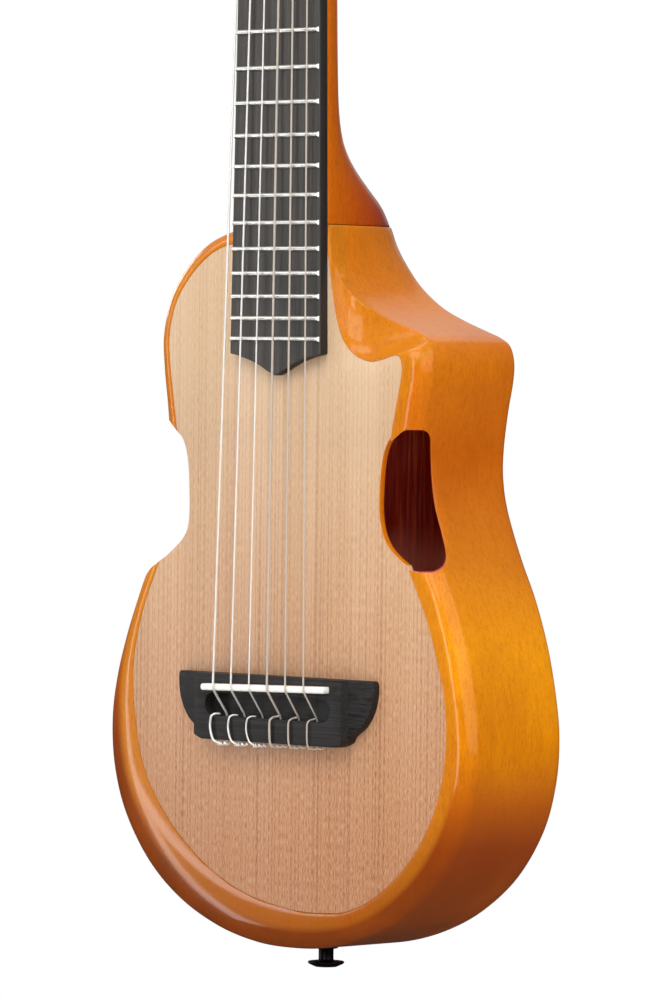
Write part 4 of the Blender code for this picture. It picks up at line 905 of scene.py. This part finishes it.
def make_bridge():
    """A sawn blank: its upper edge is bevelled, the wings are cut down, and the trough, the slanted
    saddle slot and the tie block's holes are cut in."""
    half = [(x * mm, BRIDGE_TOP_Z + z * mm) for x, z in spline_through(BRIDGE_OUTLINE, 4)]
    outline = [(x + BRIDGE_SHIFT, z) for x, z in half + [(-x, z) for x, z in reversed(half)]]
    bridge = sawn("bridge_black", outline, -BRIDGE_HEIGHT, -GAP, EBONY)
    open_up(bridge)
    pick(bridge, "edges", lambda middle, edge: edge.calc_length() > 100 * mm
         and middle.z > BRIDGE_TOP_Z - 1 * mm and middle.y < -BRIDGE_HEIGHT + 1 * mm)
    bpy.ops.mesh.bevel(offset=2.4 * mm, segments=3)
    close_up()
    for side in (1, -1):
        root, end = side * BRIDGE_BODY_HALF + BRIDGE_SHIFT, side * WING_END_X
        low, high = min(root, end), max(root, end)
        relief = block("wing_relief", (low, -20 * mm, BRIDGE_BOTTOM_Z - 10 * mm),
                       (high, -WING_ROOT_HEIGHT, BRIDGE_TOP_Z + 10 * mm), EBONY)
        open_up(relief)
        pick(relief, "verts", lambda middle, corner: abs(middle.x - end) < 1 * mm and middle.y > -10 * mm)
        bpy.ops.transform.translate(value=(0, WING_ROOT_HEIGHT - WING_END_HEIGHT, 0))
        pick(relief, "verts", lambda middle, corner: abs(middle.x - root) < 1 * mm and middle.y < -10 * mm)
        bpy.ops.transform.translate(value=(-side * 2.5 * mm, 0, 0))
        close_up()
        combine(bridge, relief)
    trough_top = SADDLE_Z - SADDLE_THICKNESS / 2 - 1.6 * mm
    radius = (trough_top - TIE_BLOCK_TOP_Z) / 2
    trough = []
    for side in (1, -1):
        for k in range(13):
            angle = math.radians(90 - 15 * k) if side > 0 else math.radians(270 - 15 * k)
            trough.append((side * (TROUGH_HALF_LENGTH - radius) + BRIDGE_SHIFT + radius * math.cos(angle),
                           trough_top - radius + radius * math.sin(angle)))
    combine(bridge, sawn("trough", trough, -BRIDGE_HEIGHT - 5 * mm, -TROUGH_FLOOR, EBONY))
    slot_half = SADDLE_LENGTH / 2 + GAP
    slant = (Matrix.Translation((BRIDGE_SHIFT, 0, SADDLE_Z)) @ Matrix.Rotation(-SADDLE_SLANT, 4, "Y"))
    combine(bridge, block("saddle_slot", (-slot_half, -BRIDGE_HEIGHT - 5 * mm, -SADDLE_THICKNESS / 2 - GAP),
                          (slot_half, -SADDLE_SLOT_FLOOR, SADDLE_THICKNESS / 2 + GAP), EBONY, slant))
    for index in range(6):
        x = string_x(index, SADDLE_SPREAD)
        combine(bridge, bar("string_hole", (x, -STRING_HOLE_HEIGHT, TIE_BLOCK_TOP_Z + 3 * mm),
                            (x, -STRING_HOLE_HEIGHT, BRIDGE_BOTTOM_Z - 5 * mm), STRING_HOLE_RADIUS, 16,
                            EBONY))
    soften(bridge, 0.35 * mm, 3, 35)
    hand_over(bridge, "ebony", INSTRUMENT, "bridge")

    top = -(SADDLE_STRING_HEIGHT - max(STRING_DIAMETERS) / 2 - GAP)
    saddle = block("saddle_bone", (-SADDLE_LENGTH / 2, top, -SADDLE_THICKNESS / 2),
                   (SADDLE_LENGTH / 2, -SADDLE_SLOT_FLOOR - GAP, SADDLE_THICKNESS / 2), BONE)
    open_up(saddle)
    pick(saddle, "edges", lambda middle, edge: middle.y < top + 0.1 * mm or abs(middle.x) > 38 * mm)
    bpy.ops.mesh.bevel(offset=1.2 * mm, segments=5)
    close_up()
    settle(saddle, "saddle_bone", None, slant)
    smooth(saddle, 40)
    hand_over(saddle, "bone", INSTRUMENT, "saddle")


def winding(index, radius):
    """A string's turns on its roller: the outer strings take the nearest rollers."""
    side = -1 if index < 3 else 1
    order = index if index < 3 else 5 - index
    start_x = side * (20.5 - 3.6 * order) * mm
    reach = ROLLER_RADIUS + RUNNING_GAP + radius
    per_turn = 24
    points = []
    for k in range(37):
        angle = -math.pi / 2 - 0.35 + 2 * math.pi * k / per_turn
        x = start_x - side * (2 * radius + GAP) * k / per_turn
        points.append(HEAD @ Vector((x, ROLLER_DEPTH + reach * math.sin(angle),
                                     ROLLER_HEIGHTS[order] + reach * math.cos(angle))))
    return points


def tie_loop(index, radius):
    """Down from the saddle, through the tie block and back over it: the basses in a wide bow
    that hooks over the block's upper edge, the trebles back round the string."""
    x = string_x(index, SADDLE_SPREAD)
    front = -(BRIDGE_HEIGHT + GAP + radius)
    below = BRIDGE_BOTTOM_Z - GAP - radius
    above = TIE_BLOCK_TOP_Z + GAP + radius
    hole = -STRING_HOLE_HEIGHT
    knots = [(x, hole, TIE_BLOCK_TOP_Z - 0.2 * mm),
             (x, hole, BRIDGE_BOTTOM_Z + 0.2 * mm), (x - 0.1 * mm, hole - 0.5 * mm, below - 0.8 * mm)]
    if index < 3:
        knots += [(x - 0.8 * mm, (hole + front) / 2, below - 1.1 * mm),
                  (x - 2.1 * mm, front + 0.5 * mm, below - 0.5 * mm),
                  (x - 3.9 * mm, front - 0.15 * mm, below + 1.2 * mm),
                  (x - 5.4 * mm, front - 0.3 * mm, (below + above) / 2),
                  (x - 5.1 * mm, front - 0.15 * mm, above - 1.5 * mm),
                  (x - 4.2 * mm, front + 0.6 * mm, above - 0.1 * mm),
                  (x - 3.2 * mm, front + 1.9 * mm, above + 0.2 * mm),
                  (x - 2.6 * mm, front + 3.0 * mm, above + 0.1 * mm)]
    else:
        aside = -(2 * radius + GAP)
        knots += [(x + aside * 0.5, (hole + front) / 2, below - 1.1 * mm),
                  (x + aside, front + 0.5 * mm, below - 0.4 * mm),
                  (x + aside * 1.5, front - 0.15 * mm, below + 1.4 * mm),
                  (x + aside * 1.7, front - 0.3 * mm, (below + above) / 2),
                  (x + aside * 1.7, front - 0.15 * mm, above - 1.4 * mm),
                  (x + aside * 1.2, front + 0.9 * mm, above + 0.1 * mm),
                  (x + aside * 0.9, front + 2.4 * mm, above + 0.5 * mm),
                  (x - aside * 0.2, hole - 1.3 * mm, above + 0.9 * mm)]
    return [(x, hole - 0.6 * mm, TIE_BLOCK_TOP_Z + 1.6 * mm)] + spline_through(knots, 7)


def loose_end(index, radius, strand):
    """One strand of the string's end, curling along the tie block's lower edge towards the
    treble side."""
    x = string_x(index, SADDLE_SPREAD) - 2.2 * mm
    reach = (8.0 if index < 3 else 9.6) * mm
    curl = (0.85 if index < 3 else 0.5) * mm
    below = BRIDGE_BOTTOM_Z - GAP - radius - curl - 0.15 * mm
    points = []
    for k in range(41):
        share = k / 40
        angle = 2 * math.pi * 2.4 * share + index + 2.4 * strand
        swell = curl * (1 - 0.35 * share)
        points.append((x + reach * share * (1 - 0.22 * strand),
                       -BRIDGE_HEIGHT + 0.9 * mm + swell * math.cos(angle),
                       below + swell * math.sin(angle) + 0.3 * mm * share))
    return points


def make_strings():
    for index, diameter in enumerate(STRING_DIAMETERS):
        number = 6 - index
        radius = diameter / 2
        nut_x = string_x(index, NUT_SPREAD)
        saddle_x = string_x(index, SADDLE_SPREAD)
        saddle_z = SADDLE_Z + saddle_x * math.tan(SADDLE_SLANT)
        nut_y = -(BOARD_THICKNESS + NUT_STRING_HEIGHT)
        saddle_y = -SADDLE_STRING_HEIGHT
        points = list(reversed(winding(index, radius)))
        points += [(nut_x, nut_y + 0.1 * mm, NUT_THICKNESS + 0.3 * mm),
                   (nut_x, nut_y, NUT_THICKNESS - 1.2 * mm), (nut_x, nut_y, 0)]
        points += [(saddle_x, saddle_y, saddle_z + 0.9 * mm), (saddle_x, saddle_y + 0.05 * mm, saddle_z),
                   (saddle_x, saddle_y + 0.25 * mm, saddle_z - 0.9 * mm),
                   (saddle_x, saddle_y + 0.9 * mm, saddle_z - SADDLE_THICKNESS / 2 - 0.4 * mm)]
        points += tie_loop(index, radius)
        finish = WOUND if index < 3 else NYLON
        string = bent("string_line_%d" % number, points, radius, finish)
        ends = [bent("string_end", loose_end(index, radius, strand), radius * 0.7, finish)
                for strand in range(2 if index < 3 else 1)]
        string = gathered([string] + ends)
        smooth(string, 60)
        slot = "silvered_wire" if index < 3 else "clear_nylon"
        hand_over(string, slot, INSTRUMENT, "string_%d" % number)


# Strap button and tuners

def make_strap_button():
    seat = (0, BODY_DEPTH / 2, TAIL_Z - GAP)
    profile = [(radius, -height) for radius, height in BUTTON_PROFILE + BUTTON_BORE]
    button = turned("strap_button_black", profile, 64, seat, BUTTON)
    soften(button, 0.15 * mm, 2, 35)
    hand_over(button, "black_plastic", INSTRUMENT, "strap_button")
    screw = from_model("strap_button_screw", "strap_button_screw_steel", NICKEL)
    hand_over(screw, "nickel", INSTRUMENT, "strap_button_screw")


def make_tuner_plate(side, label):
    """Pressed plate with rounded ends, a pair of lugs for each worm, and two wood screws."""
    low = ROLLER_HEIGHTS[0] - WORM_OFFSET - 7 * mm
    high = ROLLER_HEIGHTS[-1] + 7 * mm
    edge_low = ROLLER_DEPTH - PLATE_WIDTH / 2
    edge_high = ROLLER_DEPTH + PLATE_WIDTH / 2
    inner = side * (HEAD_HALF_WIDTH + GAP)
    outer = side * PLATE_OUTER_X
    plate = block("tuner_plate", (min(inner, outer), edge_low, low), (max(inner, outer), edge_high, high),
                  NICKEL)
    open_up(plate)
    pick(plate, "edges", lambda middle, edge: abs(edge.verts[0].co.x - edge.verts[1].co.x) > 0.5 * mm)
    bpy.ops.mesh.bevel(offset=3.4 * mm, segments=8)
    close_up()
    ends = sorted((side * (PLATE_OUTER_X - 0.5 * mm), side * (WHEEL_X + 2.6 * mm)))
    for height in ROLLER_HEIGHTS:
        worm_z = height - WORM_OFFSET
        for y in (edge_low + 1.2 * mm, edge_high - 1.2 * mm):
            lug = block("worm_lug", (ends[0], y - 1 * mm, worm_z - 3.2 * mm),
                        (ends[1], y + 1 * mm, worm_z + 3.2 * mm), NICKEL)
            open_up(lug)
            tip = max(ends, key=abs)
            pick(lug, "edges", lambda middle, edge: abs(middle.x - tip) < 0.1 * mm
                 and abs(edge.verts[0].co.y - edge.verts[1].co.y) > 0.5 * mm)
            bpy.ops.mesh.bevel(offset=2.2 * mm, segments=6)
            close_up()
            combine(plate, lug, "UNION")
        combine(plate, bar("worm_bore", (side * WHEEL_X, -5 * mm, worm_z), (side * WHEEL_X, 25 * mm, worm_z),
                           WORM_SHAFT_RADIUS + RUNNING_GAP, 24, NICKEL))
        combine(plate, bar("roller_bore", (side * 29 * mm, ROLLER_DEPTH, height),
                           (side * (PLATE_OUTER_X + 0.3 * mm), ROLLER_DEPTH, height),
                           JOURNAL_RADIUS + RUNNING_GAP, 24, NICKEL))
    soften(plate, 0.15 * mm, 2, 40)
    screws = []
    for height in (ROLLER_HEIGHTS[0] + 14 * mm, ROLLER_HEIGHTS[1] + 14 * mm):
        head = bar("plate_screw", (side * (PLATE_OUTER_X - 0.1 * mm), ROLLER_DEPTH, height),
                   (side * (PLATE_OUTER_X + 0.8 * mm), ROLLER_DEPTH, height), 2.1 * mm, 32, NICKEL)
        combine(head, block("screw_slot", (side * (PLATE_OUTER_X + 0.4 * mm), ROLLER_DEPTH - 0.3 * mm,
                                           height - 4 * mm),
                            (side * (PLATE_OUTER_X + 2 * mm), ROLLER_DEPTH + 0.3 * mm, height + 4 * mm),
                            NICKEL))
        soften(head, 0.2 * mm, 3, 50)
        screws.append(head)
    plate = gathered([plate] + screws)
    settle(plate, "tuner_plate_%s_steel" % label, None, HEAD)
    smooth(plate, 35)
    hand_over(plate, "nickel", INSTRUMENT, "tuner_plate_" + label)


def paddle_knob():
    """A moulded paddle on its worm's axis: a block rounded all over, narrowed to a collar."""
    width, length, thick = KNOB_SIZE
    knob = block("knob", (-width / 2, KNOB_START + 2.4 * mm, -thick / 2),
                 (width / 2, KNOB_START + length, thick / 2), KNOB)
    open_up(knob)
    pick(knob, "edges", lambda middle, edge: abs(edge.verts[0].co.z - edge.verts[1].co.z) > 3 * mm)
    bpy.ops.mesh.bevel(offset=5.6 * mm, segments=8)
    close_up()
    open_up(knob)
    pick(knob, "faces", lambda middle, face: abs(face.normal.z) > 0.9)
    bpy.ops.mesh.inset(thickness=2.2 * mm, depth=0)
    bpy.ops.transform.resize(value=(1, 1, 0.72), center_override=(0, KNOB_START + length / 2, 0))
    close_up()
    soften(knob, 1.1 * mm, 4, 40)
    collar = bar("knob_collar", (0, KNOB_START, 0), (0, KNOB_START + 4.4 * mm, 0), 2.7 * mm, 40, KNOB)
    soften(collar, 0.4 * mm, 3, 50)
    combine(knob, collar, "UNION")
    smooth(knob, 40)
    return knob


def make_tuners():
    make_tuner_plate(1, "treble")
    make_tuner_plate(-1, "bass")
    pattern = paddle_knob()
    for number in range(1, 7):
        side = 1 if number < 4 else -1
        height = ROLLER_HEIGHTS[number - 1 if number < 4 else 6 - number]
        node = "string_roller_%d" % number
        hand_over(from_model(node, node + "_steel", NICKEL), "nickel", "roller_%d" % number, node)
        node = "worm_shaft_%d" % number
        hand_over(from_model(node, node + "_steel", NICKEL), "nickel", "worm_%d" % number, node)
        place = HEAD @ Matrix.Translation((side * WHEEL_X, 0, height - WORM_OFFSET))
        knob = copied(pattern, "tuner_knob_%d_black" % number, place)
        hand_over(knob, "black_plastic", "worm_%d" % number, "tuner_knob_%d" % number)
    bpy.data.objects.remove(pattern)


def make_braces():
    for node in ("upper_brace", "lower_brace", "bridge_plate", "fan_brace_bass", "fan_brace_centre",
                 "fan_brace_treble"):
        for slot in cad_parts[node].material_slots:
            slot.material = SPRUCE


# Camera, light and floor

def make_camera():
    back = Vector((math.sin(AZIMUTH) * math.cos(ELEVATION), -math.cos(AZIMUTH) * math.cos(ELEVATION),
                   math.sin(ELEVATION)))
    right = Vector((math.cos(AZIMUTH), math.sin(AZIMUTH), 0))
    up = back.cross(right)
    right, up = (right * math.cos(ROLL) + up * math.sin(ROLL),
                 up * math.cos(ROLL) - right * math.sin(ROLL))
    eye = PIVOT + back * DISTANCE + right * SHIFT_RIGHT + up * SHIFT_UP
    data = bpy.data.cameras.new("photo_camera")
    data.lens = LENS
    camera = bpy.data.objects.new("photo_camera", data)
    camera.matrix_world = Matrix.Translation(eye) @ Matrix((right, up, back)).transposed().to_4x4()
    bpy.context.scene.collection.objects.link(camera)
    bpy.context.scene.camera = camera


def soft_box(name, direction, distance, size, power):
    """A soft light aimed at the body's middle, kept out of the camera's sight."""
    middle = Vector((0, 20, -380)) * mm
    place = middle + Vector(direction).normalized() * distance
    data = bpy.data.lights.new(name, "AREA")
    data.shape = "RECTANGLE"
    data.size, data.size_y = size
    data.energy = power
    lamp = bpy.data.objects.new(name, data)
    lamp.location = place
    lamp.rotation_euler = (middle - place).to_track_quat("-Z", "Y").to_euler()
    lamp.visible_camera = False
    bpy.context.scene.collection.objects.link(lamp)


def make_studio():
    soft_box("front_light", (0.28, -0.96, 0.08), 2.0, (0.36, 1.7), 13)
    soft_box("sky_light", (0.25, -0.66, 0.71), 2.0, (1.3, 1.0), 17)
    soft_box("left_strip", (-0.855, -0.517, 0.0), 1.8, (0.16, 2.0), 7)
    soft_box("low_strip", (-0.75, -0.64, -0.185), 1.8, (0.42, 0.10), 1.2)
    soft_box("upper_left_light", (-0.68, -0.50, 0.55), 1.8, (0.9, 0.7), 3.5)
    soft_box("left_back_light", (-0.95, 0.24, 0.24), 1.8, (0.5, 0.4), 3.5)
    soft_box("right_light", (0.92, -0.08, 0.38), 2.3, (2.8, 2.6), 40)
    soft_box("top_light", (-0.20, -0.12, 0.97), 1.8, (1.2, 1.0), 14)
    soft_box("back_light", (-0.56, 0.68, 0.50), 1.8, (1.5, 1.3), 2.6)
    world = bpy.data.worlds.new("studio")
    world.use_nodes = True
    tree = world.node_tree
    tree.nodes.clear()
    where = add_node(tree, "ShaderNodeTexCoord")
    heading = add_node(tree, "ShaderNodeSeparateXYZ", {"Vector": where.outputs["Generated"]})
    glow = add_node(tree, "ShaderNodeMapRange", {"Value": heading.outputs["Z"], "From Min": -0.05,
                                                 "From Max": 0.60, "To Min": 0.03, "To Max": 0.30})
    seen = add_node(tree, "ShaderNodeBackground", {"Color": (1, 1, 1, 1), "Strength": 1.0})
    lit = add_node(tree, "ShaderNodeBackground", {"Color": (1, 1, 1, 1), "Strength": glow})
    path = add_node(tree, "ShaderNodeLightPath")
    both = add_node(tree, "ShaderNodeMixShader", {0: path.outputs["Is Camera Ray"], 1: lit, 2: seen})
    add_node(tree, "ShaderNodeOutputWorld", {"Surface": both})
    bpy.context.scene.world = world
    bpy.context.scene.view_settings.view_transform = "Standard"

    bpy.ops.object.select_all(action="DESELECT")
    bpy.ops.mesh.primitive_circle_add(vertices=96, radius=1.2, fill_type="NGON", location=(0, 0, -0.74))
    finish, _, _ = new_finish("pale_floor", Base_Color=(0.82, 0.82, 0.82, 1), Roughness=0.8)
    floor = settle(bpy.context.object, "studio_floor", finish)
    floor.visible_glossy = False


make_camera()
make_studio()
make_body()
make_soundboard()
make_neck()
make_fretboard()
make_frets()
make_nut()
make_bridge()
make_strings()
make_strap_button()
make_tuners()
make_braces()
